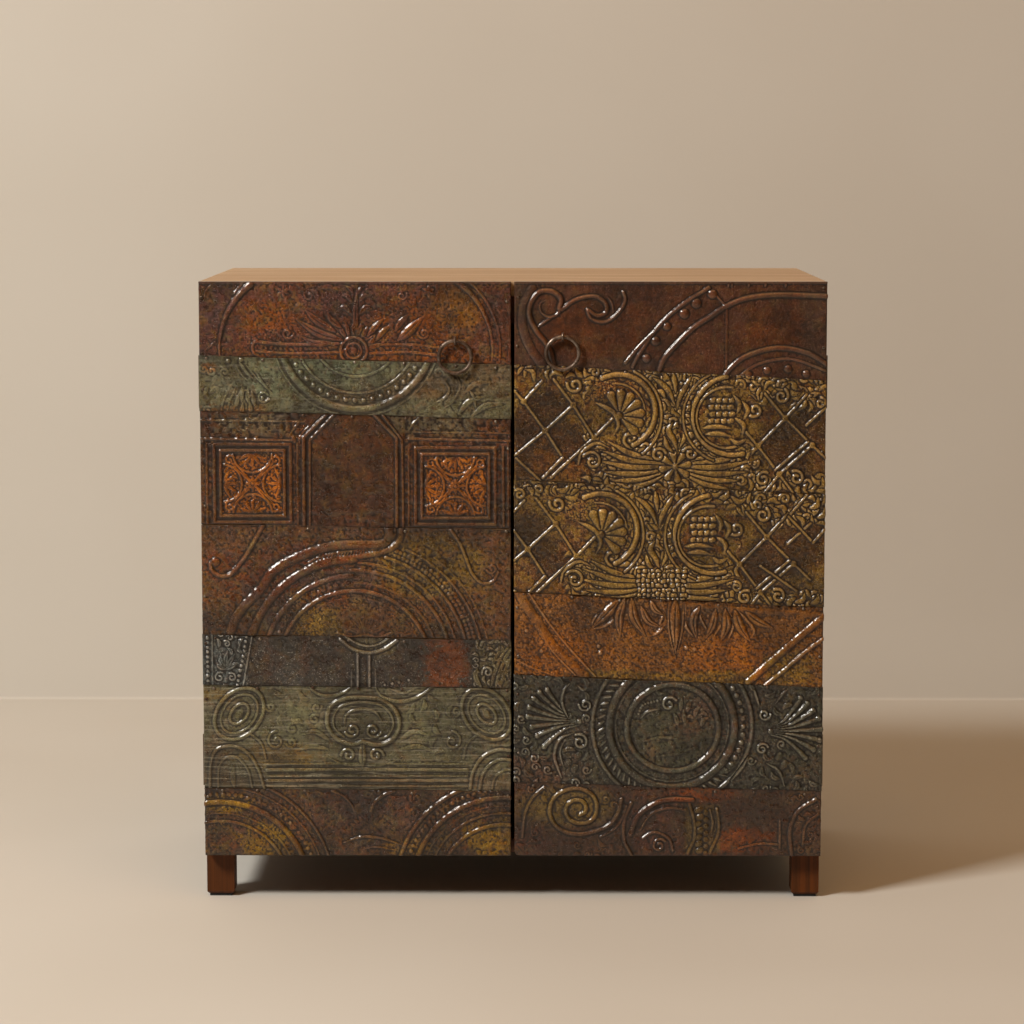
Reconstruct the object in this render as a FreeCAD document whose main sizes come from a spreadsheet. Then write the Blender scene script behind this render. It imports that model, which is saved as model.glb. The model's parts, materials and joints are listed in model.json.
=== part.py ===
import FreeCAD, Part
import math
import os
import re
import Sketcher
from FreeCAD import Placement, Rotation, Vector

# A free-standing cabinet with two doors that are clad in strips of old pressed tin.
# It stands on z = 0, its doors face -Y, and X runs along its width.
# Every length is in millimetres.

SIZES = {
    # Whole cabinet
    "overall_width": 900,
    "overall_height": 905,
    "carcass_depth": 478,
    "door_bottom": 67,
    "centre_gap": 5,
    "joint_gap": 1.5,
    # Boards of the carcass
    "top_thick": 22,
    "bottom_thick": 20,
    "shelf_thick": 18,
    "shelf_height": 468,
    "shelf_setback": 30,
    "shelf_clear": 0.3,
    "cleat_wide": 18,
    "cleat_high": 25,
    # Posts, which run down into the legs, and the pads under them
    "post_width": 40,
    "foot_chamfer": 3,
    "pad_thick": 4,
    "pad_inset": 3.5,
    # Rails and panels between the posts
    "rail_thick": 22,
    "rail_high": 50,
    "front_rail_high": 40,
    "rail_inset": 4,
    "panel_thick": 8,
    "groove_depth": 8,
    "groove_clear": 0.15,
    "groove_room": 1,
    "housing_depth": 8,
    "housing_clear": 0.2,
    # Doors: wood core, tin skin and the folded edges of the tin
    "core_thick": 20,
    "tin_thick": 1,
    "tin_return": 14,
    "seam_gap": 0.3,
    "corner_radius": 7,
    # Raised mouldings pressed into the tin
    "bold_wide": 9,
    "bold_high": 3.4,
    "fine_wide": 5,
    "fine_high": 2,
    "chord_error": 0.6,
    # Butt hinges
    "hinge_length": 76,
    "hinge_drop": 107,
    "hinge_rise": 100,
    "hinge_out": 0.5,
    "barrel_radius": 3.2,
    "barrel_clear": 0.5,
    "pin_radius": 1.6,
    "pin_clear": 0.05,
    "pin_proud": 1,
    "leaf_wide": 25,
    "leaf_thick": 1.6,
    "leaf_gap": 0.7,
    "leaf_clear": 0.15,
    "knuckle_clear": 0.2,
    "notch_clear": 0.4,
    # Ring pulls: ring, eye, washer and nut
    "ring_radius": 23.5,
    "wire_radius": 2.75,
    "wire_chamfer": 1.6,
    "ring_play": 0.55,
    "left_pull_inset": 80,
    "left_pull_drop": 84,
    "right_pull_inset": 69,
    "right_pull_drop": 78.5,
    "eye_stand": 8,
    "eye_radius": 6.5,
    "eye_wide": 3.2,
    "shank_radius": 2.2,
    "shank_clear": 0.2,
    "thread_clear": 0.05,
    "washer_wide": 12,
    "washer_thick": 1,
    "washer_clear": 0.5,
    "nut_radius": 4.6,
    "nut_high": 3.2,
    "nut_room": 1.5,
    "shank_setback": 0.5,
    # Magnetic catches and their strike plates
    "catch_offset": 12,
    "catch_wide": 46,
    "catch_high": 14,
    "catch_depth": 15,
    "catch_foot_wide": 62,
    "catch_foot_thick": 2,
    "strike_wide": 34,
    "strike_high": 11,
    "strike_thick": 1,
    # Every cut runs this far past the face that it opens
    "cut_overrun": 2,
}

# Places and lengths that follow from the sizes above.
PLACES = {
    "half_width": "overall_width / 2",
    "back_y": "(carcass_depth + joint_gap + core_thick + tin_thick + eye_stand + eye_radius) / 2",
    "carcass_front": "back_y - carcass_depth",
    "door_back": "carcass_front - joint_gap",
    "core_front": "door_back - core_thick",
    "tin_front": "core_front - tin_thick",
    "pull_y": "tin_front - eye_stand",
    "hinge_y": "carcass_front - joint_gap / 2",
    "post_top": "overall_height - top_thick",
    "board_top": "door_bottom + bottom_thick",
    "front_rail_bottom": "post_top - front_rail_high",
    "side_rail_long": "carcass_depth - 2 * post_width",
    "cross_rail_long": "overall_width - 2 * post_width",
    "groove_wide": "panel_thick + 2 * groove_clear",
    "tongue_long": "groove_depth - groove_room",
    "rail_groove_near": "(rail_thick - groove_wide) / 2",
    "panel_inside": "rail_inset + (rail_thick + panel_thick) / 2",
    "housing_near": "post_width - housing_depth",
    "door_wide": "(overall_width - centre_gap) / 2",
    "door_high": "overall_height - door_bottom",
    "leaf_sink": "leaf_gap / 2 + leaf_thick - joint_gap / 2",
    "leaf_reach": "leaf_wide - hinge_out",
    "upper_hinge_z": "overall_height - hinge_drop - hinge_length",
    "lower_hinge_z": "door_bottom + hinge_rise",
    "relief_radius": "barrel_radius + barrel_clear",
    "relief_end": "pin_proud + barrel_clear",
    "bore_radius": "pin_radius + pin_clear",
    "eye_bore": "wire_radius + ring_play",
    "recess_depth": "washer_thick + nut_high + nut_room",
}

KNUCKLES = 3
NUT_SIDES = 6
RING_SIDES = 24
OVAL_SIDES = 18
SIDES = ("left", "right")
ROWS = ("front", "back")
# Lengths closer than this count as the same when an edge is picked.
TOUCH = 1e-6

doc = FreeCAD.newDocument("cabinet")
sheet = doc.addObject("Spreadsheet::Sheet", "sizes")
for row, (size_name, size_value) in enumerate(SIZES.items(), start=1):
    sheet.set(f"A{row}", size_name)
    sheet.set(f"B{row}", str(size_value))
    sheet.setAlias(f"B{row}", size_name)
doc.recompute()

nodes = []


def tie(text):
    """Writes a formula of size and place names as an expression on the sheet."""
    def spell(found):
        name = found.group()
        return f"({tie(PLACES[name])})" if name in PLACES else f"sizes.{name}"
    return re.sub("[a-z_]+", spell, str(text))


def number(text):
    """The length, in millimetres, that a formula of sizes gives."""
    return float(sheet.evalExpression(tie(text)))


def bind(piece, formulas):
    for prop, text in formulas.items():
        piece.setExpression(prop, tie(text))
    return piece


def place(piece, corner, turn=None):
    """Turns a piece, then ties its place to the sheet."""
    if turn is not None:
        piece.Placement = Placement(Vector(0, 0, 0), turn)
    return bind(piece, {f"Placement.Base.{axis}": text for axis, text in zip("xyz", corner)})


def node(piece, name):
    """Keeps a finished sub-part under the name that its file gets."""
    piece.Label = name
    nodes.append(piece)
    return piece


# Boards and plain blocks

def box(name, low, span):
    piece = doc.addObject("Part::Box", name)
    place(piece, low)
    return bind(piece, dict(zip(("Length", "Width", "Height"), span)))


def fused(name, *pieces):
    piece = doc.addObject("Part::MultiFuse", name)
    piece.Shapes = list(pieces)
    return piece


def cut(name, base, *tools):
    piece = doc.addObject("Part::Cut", name)
    piece.Base = base
    piece.Tool = tools[0] if len(tools) == 1 else fused(f"{name}_cuts", *tools)
    return piece


def across(side, near, far):
    """Low end and length, in X, of a span between two distances in from a side plane."""
    low = f"-half_width + {near}" if side == "left" else f"half_width - ({far})"
    return low, f"({far}) - ({near})"


def deep(row, near, far):
    """Low end and length, in Y, of a span between two distances in from front or back."""
    low = f"carcass_front + {near}" if row == "front" else f"back_y - ({far})"
    return low, f"({far}) - ({near})"


def centred(middle, long):
    return f"{middle} - ({long}) / 2", long


def block(name, x_span, y_span, z_span):
    lows, spans = zip(x_span, y_span, z_span)
    return box(name, lows, spans)


# Features of a body, in the cabinet's own frame

def origin_plane(body, role):
    return next(item for item in body.Origin.OriginFeatures if item.Role == role)


def attach(feature, body, role, offset):
    feature.AttachmentSupport = [(origin_plane(body, role), "")]
    feature.MapMode = "FlatFace"
    return bind(feature, {f"AttachmentOffset.Base.{axis}": text for axis, text in zip("xyz", offset)})


def rectangle(body, name, role, u_span, v_span, rise):
    """A rectangle whose corner and sides are constraints tied to the sheet."""
    sketch = body.newObject("Sketcher::SketchObject", name)
    attach(sketch, body, role, ("0", "0", rise))
    (u_low, u_long), (v_low, v_long) = u_span, v_span
    u, v, wide, high = number(u_low), number(v_low), number(u_long), number(v_long)
    far_u, far_v = u + wide, v + high
    corners = [Vector(u, v, 0), Vector(far_u, v, 0), Vector(far_u, far_v, 0), Vector(u, far_v, 0)]
    for index, start in enumerate(corners):
        sketch.addGeometry(Part.LineSegment(start, corners[(index + 1) % len(corners)]), False)
    for index, run in enumerate(("Horizontal", "Vertical", "Horizontal", "Vertical")):
        sketch.addConstraint(Sketcher.Constraint("Coincident", index, 2, (index + 1) % len(corners), 1))
        sketch.addConstraint(Sketcher.Constraint(run, index))
    ties = (
        (Sketcher.Constraint("DistanceX", -1, 1, 0, 1, u), u_low),
        (Sketcher.Constraint("DistanceY", -1, 1, 0, 1, v), v_low),
        (Sketcher.Constraint("DistanceX", 0, 1, 0, 2, wide), u_long),
        (Sketcher.Constraint("DistanceY", 1, 1, 1, 2, high), v_long),
    )
    for constraint, text in ties:
        index = sketch.addConstraint(constraint)
        sketch.setExpression(f"Constraints[{index}]", tie(text))
    return sketch


def pad(body, name, sketch, length):
    feature = body.newObject("PartDesign::Pad", name)
    feature.Profile = sketch
    return bind(feature, {"Length": length})


def carve(body, name, x_span, y_span, z_span):
    """Cuts a block out of a body."""
    hollow = body.newObject("PartDesign::SubtractiveBox", name)
    lows, spans = zip(x_span, y_span, z_span)
    attach(hollow, body, "XY_Plane", lows)
    return bind(hollow, dict(zip(("Length", "Width", "Height"), spans)))


def round_feature(body, kind, name, role, centre, radius, length):
    """Adds or cuts a cylinder that stands on one of the body's origin planes."""
    feature = body.newObject(f"PartDesign::{kind}Cylinder", name)
    attach(feature, body, role, centre)
    return bind(feature, {"Radius": radius, "Height": length})


def edge_names(shape, wanted):
    return [f"Edge{index}" for index, edge in enumerate(shape.Edges, start=1) if wanted(edge.BoundBox)]


# Hinge heights by name, each the z of the barrel's lower end
HINGE_Z = {"upper": "upper_hinge_z", "lower": "lower_hinge_z"}


def hinge_axis_x(side):
    return "-half_width - hinge_out" if side == "left" else "half_width + hinge_out"


def seat_hinges(body, side, leaf_y_span):
    """Mortises one leaf of each hinge into a body and clears its barrel."""
    for level_name, z_low in HINGE_Z.items():
        carve(body, f"{body.Name}_{level_name}_mortise",
              across(side, "-cut_overrun", "leaf_reach + leaf_clear"), leaf_y_span,
              (f"{z_low} - leaf_clear", "hinge_length + 2 * leaf_clear"))
        round_feature(body, "Subtractive", f"{body.Name}_{level_name}_barrel", "XY_Plane",
                      (hinge_axis_x(side), "hinge_y", f"{z_low} - relief_end"),
                      "relief_radius", "hinge_length + 2 * relief_end")


# Posts: square hardwood, chamfered at the foot, grooved for rails and panels, and housed
# for the bottom board. The front pair carries the hinges.
def post(side, row):
    name = f"{row}_{side}_post"
    body = doc.addObject("PartDesign::Body", name)
    outline = rectangle(body, f"{name}_section", "XY_Plane",
                        across(side, "0", "post_width"), deep(row, "0", "post_width"), "pad_thick")
    stock = pad(body, f"{name}_stock", outline, "post_top - pad_thick")
    doc.recompute()
    foot = number("pad_thick") + TOUCH
    chamfer = body.newObject("PartDesign::Chamfer", f"{name}_foot")
    chamfer.Base = (stock, edge_names(stock.Shape, lambda room: room.ZMax < foot))
    bind(chamfer, {"Size": "foot_chamfer"})
    groove_top = ("board_top", "post_top - board_top + cut_overrun")
    carve(body, f"{name}_side_groove",
          across(side, "rail_inset + rail_groove_near", "rail_inset + rail_groove_near + groove_wide"),
          deep(row, "post_width - groove_depth", "post_width + cut_overrun"), groove_top)
    cross_inset = "0" if row == "front" else "rail_inset"
    if row == "front":
        groove_top = ("front_rail_bottom", "front_rail_high + cut_overrun")
    carve(body, f"{name}_cross_groove",
          across(side, "post_width - groove_depth", "post_width + cut_overrun"),
          deep(row, f"{cross_inset} + rail_groove_near", f"{cross_inset} + rail_groove_near + groove_wide"),
          groove_top)
    board_edge = "-cut_overrun" if row == "front" else "rail_inset"
    housing_z = ("door_bottom", "bottom_thick + housing_clear")
    carve(body, f"{name}_housing_side", across(side, "housing_near", "post_width + cut_overrun"),
          deep(row, board_edge, "post_width + cut_overrun"), housing_z)
    carve(body, f"{name}_housing_end", across(side, "rail_inset", "post_width + cut_overrun"),
          deep(row, "housing_near", "post_width + cut_overrun"), housing_z)
    if row == "front":
        seat_hinges(body, side, ("carcass_front - cut_overrun", "cut_overrun + leaf_sink + leaf_clear"))
    return node(body, name)


for post_row in ROWS:
    for post_side in SIDES:
        post(post_side, post_row)

# Pads: one dark pad under each leg, a little smaller than the leg
pads = [
    block(f"{row}_{side}_pad", across(side, "pad_inset", "post_width - pad_inset"),
          deep(row, "pad_inset", "post_width - pad_inset"), ("0", "pad_thick"))
    for row in ROWS for side in SIDES
]
foot_pads = doc.addObject("Part::Compound", "foot_pads")
foot_pads.Links = pads
node(foot_pads, "foot_pads")


# Boards that are notched round the four posts
def notched_board(name, edge_inset, front_inset, back_inset, reach, z_low, thick):
    board = block(f"{name}_plain", ("-half_width + " + edge_inset, f"overall_width - 2 * ({edge_inset})"),
                  (f"carcass_front + {front_inset}", f"carcass_depth - ({front_inset}) - ({back_inset})"),
                  (z_low, thick))
    notches = [
        block(f"{name}_{row}_{side}_notch", across(side, "-cut_overrun", reach),
              deep(row, "-cut_overrun", reach), (f"{z_low} - cut_overrun", f"{thick} + 2 * cut_overrun"))
        for row in ROWS for side in SIDES
    ]
    return node(cut(name, board, *notches), name)


# The top board lies on the posts and rails, flush with the door tops.
node(block("top_board", ("-half_width", "overall_width"), ("carcass_front", "carcass_depth"),
           ("post_top", "top_thick")), "top_board")
# The bottom board's corners sit in the posts' housings, and its front edge shows between the doors.
notched_board("bottom_board", "rail_inset", "0", "rail_inset", "housing_near + housing_clear",
              "door_bottom", "bottom_thick")
# The shelf lies on two cleats between the side panels.
notched_board("shelf", "panel_inside + shelf_clear", "shelf_setback", "panel_inside + shelf_clear",
              "post_width + shelf_clear", "shelf_height", "shelf_thick")
for cleat_side in SIDES:
    cleat_name = f"{cleat_side}_shelf_cleat"
    cleat_x = across(cleat_side, "panel_inside", "panel_inside + cleat_wide")
    cleat_y = ("carcass_front + post_width", "side_rail_long")
    node(block(cleat_name, cleat_x, cleat_y, ("shelf_height - cleat_high", "cleat_high")), cleat_name)


# Rails: each has a stub tongue at both ends, which fills the post's groove, and a groove along
# the edge that holds its panel. Drawn along x from one post to the next, with y going inwards.
def rail(name, long, high, panel_edge, corner, turn):
    bar = box(f"{name}_bar", ("0", "0", "0"), (long, "rail_thick", high))
    tongue_low = "groove_depth" if panel_edge == "lower" else "0"
    tongue_cut = "0" if panel_edge is None else "groove_depth"
    tongue = box(f"{name}_tongue", ("-tongue_long", "(rail_thick - panel_thick) / 2", tongue_low),
                 (f"{long} + 2 * tongue_long", "panel_thick", f"{high} - {tongue_cut}"))
    piece = fused(f"{name}_blank", bar, tongue)
    if panel_edge is not None:
        groove_low = "-cut_overrun" if panel_edge == "lower" else f"{high} - groove_depth"
        groove = box(f"{name}_groove", ("0", "rail_groove_near", groove_low),
                     (long, "groove_wide", "groove_depth + cut_overrun"))
        piece = cut(f"{name}_grooved", piece, groove)
    return node(place(piece, corner, turn), name)


# Panels: thin boards that float in the grooves of the posts and rails.
def panel(name, long, corner, turn):
    piece = box(name, ("0", "0", "0"), (
        f"{long} + 2 * tongue_long", "panel_thick",
        "post_top - board_top - 2 * rail_high + 2 * tongue_long"))
    return node(place(piece, corner, turn), name)


def turned(degrees):
    return Rotation(Vector(0, 0, 1), degrees)


UPPER_Z = "post_top - rail_high"
PANEL_Z = "board_top + rail_high - tongue_long"
PANEL_Y = "rail_inset + (rail_thick - panel_thick) / 2"
for wall_side, wall_turn in zip(SIDES, (-90, 90)):
    if wall_side == "left":
        rail_x, rail_y = "-half_width + rail_inset", "back_y - post_width"
        panel_x, panel_y = f"-half_width + {PANEL_Y}", f"{rail_y} + tongue_long"
    else:
        rail_x, rail_y = "half_width - rail_inset", "carcass_front + post_width"
        panel_x, panel_y = f"half_width - ({PANEL_Y})", f"{rail_y} - tongue_long"
    rail(f"{wall_side}_upper_rail", "side_rail_long", "rail_high", "lower",
         (rail_x, rail_y, UPPER_Z), turned(wall_turn))
    rail(f"{wall_side}_lower_rail", "side_rail_long", "rail_high", "upper",
         (rail_x, rail_y, "board_top"), turned(wall_turn))
    panel(f"{wall_side}_panel", "side_rail_long", (panel_x, panel_y, PANEL_Z), turned(wall_turn))
BACK_X = "half_width - post_width"
rail("back_upper_rail", "cross_rail_long", "rail_high", "lower",
     (BACK_X, "back_y - rail_inset", UPPER_Z), turned(180))
rail("back_lower_rail", "cross_rail_long", "rail_high", "upper",
     (BACK_X, "back_y - rail_inset", "board_top"), turned(180))
panel("back_panel", "cross_rail_long", (f"{BACK_X} + tongue_long", f"back_y - ({PANEL_Y})", PANEL_Z),
      turned(180))
rail("front_top_rail", "cross_rail_long", "front_rail_high", None,
     ("-half_width + post_width", "carcass_front", "front_rail_bottom"), turned(0))


# Door cores: wood slabs behind the tin, mortised for the hinge leaves, bored for the pull and
# recessed at the back for its washer and nut.
def door_edges(side, inset):
    """Span in X of a door, less an inset at both edges."""
    low = "-half_width" if side == "left" else "centre_gap / 2"
    return f"{low} + {inset}", f"door_wide - 2 * {inset}"


def pull_x(side):
    return "-centre_gap / 2 - left_pull_inset" if side == "left" else "centre_gap / 2 + right_pull_inset"


def pull_z(side):
    return f"overall_height - {side}_pull_drop"


def door_core(side):
    name = f"{side}_door_core"
    body = doc.addObject("PartDesign::Body", name)
    outline = rectangle(body, f"{name}_outline", "XZ_Plane", door_edges(side, "tin_thick"),
                        ("door_bottom + tin_thick", "door_high - 2 * tin_thick"), "-(door_back)")
    slab = pad(body, f"{name}_slab", outline, "core_thick")
    if side == "right":
        doc.recompute()
        corner_x = number(door_edges(side, "tin_thick")[0]) + TOUCH
        corner_z = number("door_bottom + tin_thick") + TOUCH
        fillet = body.newObject("PartDesign::Fillet", f"{name}_corner")
        picked = edge_names(slab.Shape, lambda room: room.XMax < corner_x and room.ZMax < corner_z)
        fillet.Base = (slab, picked)
        bind(fillet, {"Radius": "corner_radius - tin_thick"})
    seat_hinges(body, side, ("door_back - leaf_sink - leaf_clear", "leaf_sink + leaf_clear + cut_overrun"))
    round_feature(body, "Subtractive", f"{name}_pull_hole", "XZ_Plane",
                  (pull_x(side), pull_z(side), "-(door_back + cut_overrun)"),
                  "shank_radius + shank_clear", "core_thick + 2 * cut_overrun")
    carve(body, f"{name}_nut_recess", centred(pull_x(side), "washer_wide + 2 * washer_clear"),
          ("door_back - recess_depth", "recess_depth + cut_overrun"),
          centred(pull_z(side), "washer_wide + 2 * washer_clear"))
    return node(body, name)


for core_side in SIDES:
    door_core(core_side)

# Tin strips. Seams and relief are shares of the door, taken from its left edge and from its top:
# places across and radii of the door's width, places down of the door's height.
# Each pair is a seam's height at the left and at the right edge.
SEAM_SHARES = {
    "left": [(0, 0), (0.126, 0.143), (0.221, 0.235), (0.418, 0.426), (0.61, 0.619),
             (0.698, 0.704), (0.881, 0.885), (1, 1)],
    "right": [(0, 0), (0.141, 0.169), (0.34, 0.366), (0.535, 0.561), (0.68, 0.702),
              (0.869, 0.885), (1, 1)],
}

# Two strips of the right door come from one pattern, which sits further on in the second.
TRELLIS_SHARES = [
    ("arc", "bold", 0.335, 0.219, 0.119, -75, 95),
    ("arc", "bold", 0.702, 0.229, 0.127, 105, 295),
    ("run", "fine", (0.084, 0.167), (0.035, 0.2), (0.106, 0.251), (0.162, 0.292)),
    ("run", "fine", (0.128, 0.167), (0.19, 0.2), (0.113, 0.245)),
    ("run", "fine", (0.196, 0.205), (0.274, 0.257), (0.33, 0.227)),
    ("run", "fine", (0.106, 0.334), (0.184, 0.298)),
    ("run", "fine", (0.803, 0.197), (0.866, 0.236), (0.781, 0.277), (0.85, 0.328)),
    ("run", "fine", (0.877, 0.236), (0.955, 0.278), (0.87, 0.328)),
]
TRELLIS_SHIFT_SHARES = (-0.045, 0.203)

# Relief of each strip from the top down. An arc gives its centre, radius and end angles, an oval
# its centre, two half axes and tilt, a run its corners, and a frame two opposite corners.
RELIEF_SHARES = {
    "left": [
        [("arc", "bold", 0.328, 0.116, 0.264, 100, 183), ("arc", "bold", 0.677, 0.116, 0.261, 0, 80),
         ("arc", "bold", 0.496, 0.116, 0.042, 0, 180),
         ("run", "fine", (0.503, 0.016), (0.503, 0.079)), ("run", "bold", (0.168, 0.108), (0.42, 0.108)),
         ("run", "fine", (0.559, 0.122), (0.775, 0.122))],
        [("arc", "bold", 0.505, 0.086, 0.25, 180, 360), ("arc", "fine", 0.505, 0.086, 0.199, 180, 360),
         ("arc", "fine", 0.505, 0.086, 0.143, 180, 360), ("run", "fine", (0.13, 0.14), (0.17, 0.165)),
         ("run", "fine", (0.181, 0.154), (0.228, 0.189))],
        [("frame", "fine", (0.045, 0.279), (0.29, 0.413)), ("frame", "fine", (0.068, 0.289), (0.267, 0.403)),
         ("frame", "fine", (0.693, 0.285), (0.95, 0.417)), ("frame", "fine", (0.716, 0.295), (0.927, 0.407)),
         ("run", "fine", (0.442, 0.222), (0.349, 0.272), (0.349, 0.415)),
         ("run", "fine", (0.418, 0.222), (0.332, 0.267), (0.332, 0.415)),
         ("run", "fine", (0.559, 0.225), (0.632, 0.268), (0.632, 0.415)),
         ("run", "fine", (0.59, 0.226), (0.65, 0.263), (0.65, 0.415))],
        [("arc", "bold", 0.494, 0.665, 0.246, 10, 170), ("arc", "fine", 0.494, 0.665, 0.29, 10, 170),
         ("arc", "bold", 0.494, 0.665, 0.345, 10, 170), ("arc", "bold", 0.494, 0.665, 0.409, 10, 170),
         ("run", "bold", (0.212, 0.42), (0.174, 0.444), (0.141, 0.473), (0.1, 0.5), (0.058, 0.504),
          (0.035, 0.486)),
         ("run", "bold", (0.811, 0.427), (0.838, 0.451), (0.868, 0.49), (0.905, 0.518), (0.955, 0.512))],
        [("arc", "bold", 0.537, 0.606, 0.075, 200, 340), ("run", "fine", (0.503, 0.646), (0.503, 0.71)),
         ("run", "fine", (0.541, 0.646), (0.541, 0.71)), ("run", "fine", (0.134, 0.61), (0.112, 0.705))],
        [("oval", "fine", 0.523, 0.76, 0.112, 0.074, 0), ("oval", "fine", 0.116, 0.749, 0.089, 0.07, 50),
         ("oval", "fine", 0.921, 0.749, 0.085, 0.066, 130),
         ("run", "fine", (0.483, 0.69), (0.451, 0.711), (0.411, 0.717), (0.358, 0.709)),
         ("run", "fine", (0.561, 0.69), (0.59, 0.72), (0.655, 0.728), (0.742, 0.7)),
         ("run", "bold", (0.19, 0.849), (0.86, 0.849)), ("run", "fine", (0.19, 0.868), (0.86, 0.868))],
        [("arc", "bold", 0.054, 1.058, 0.366, 0, 100), ("arc", "fine", 0.054, 1.058, 0.286, 0, 100),
         ("arc", "bold", 0.054, 1.058, 0.223, 0, 100), ("arc", "bold", 0.974, 1.056, 0.351, 85, 180),
         ("arc", "fine", 0.974, 1.056, 0.297, 85, 180), ("arc", "bold", 0.974, 1.056, 0.208, 85, 180)],
    ],
    "right": [
        [("arc", "bold", 0.816, 0.236, 0.465, 108, 160), ("arc", "bold", 0.918, 0.293, 0.529, 118, 150),
         ("arc", "fine", 0.874, 0.296, 0.513, 75, 112),
         ("arc", "bold", 0.836, 0.227, 0.212, 30, 150), ("arc", "bold", 0.106, 0.038, 0.042, 40, 290),
         ("run", "bold", (0.05, 0.06), (0.056, 0.083), (0.083, 0.113), (0.12, 0.15)),
         ("run", "fine", (0.16, 0.045), (0.207, 0.03), (0.251, 0.026), (0.285, 0.042), (0.268, 0.055)),
         ("run", "fine", (0.345, 0.034), (0.33, 0.054), (0.296, 0.068), (0.26, 0.064))],
        TRELLIS_SHARES,
        TRELLIS_SHARES,
        [("run", "bold", (0.03, 0.538), (0.24, 0.69)), ("run", "fine", (0.075, 0.538), (0.28, 0.69)),
         ("run", "bold", (0.777, 0.678), (0.844, 0.654), (0.911, 0.621), (0.966, 0.597)),
         ("run", "bold", (0.79, 0.705), (0.866, 0.674), (0.933, 0.644)),
         ("run", "fine", (0.258, 0.591), (0.267, 0.573), (0.307, 0.558)),
         ("run", "fine", (0.275, 0.589), (0.358, 0.551)), ("run", "fine", (0.514, 0.563), (0.514, 0.638)),
         ("run", "fine", (0.536, 0.567), (0.536, 0.638))],
        [("oval", "bold", 0.513, 0.77, 0.145, 0.145, 0), ("oval", "bold", 0.513, 0.77, 0.197, 0.197, 0),
         ("arc", "fine", 0.513, 0.77, 0.259, -55, 55), ("arc", "fine", 0.513, 0.77, 0.259, 125, 235)],
        [("arc", "bold", 0.516, 0.964, 0.132, 20, 190), ("arc", "bold", 0.196, 0.919, 0.049, -150, 100),
         ("arc", "fine", 0.217, 0.905, 0.118, -95, 20), ("run", "fine", (0.6, 0.9), (0.58, 0.985)),
         ("run", "fine", (0.65, 0.9), (0.65, 0.985))],
    ],
}


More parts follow.
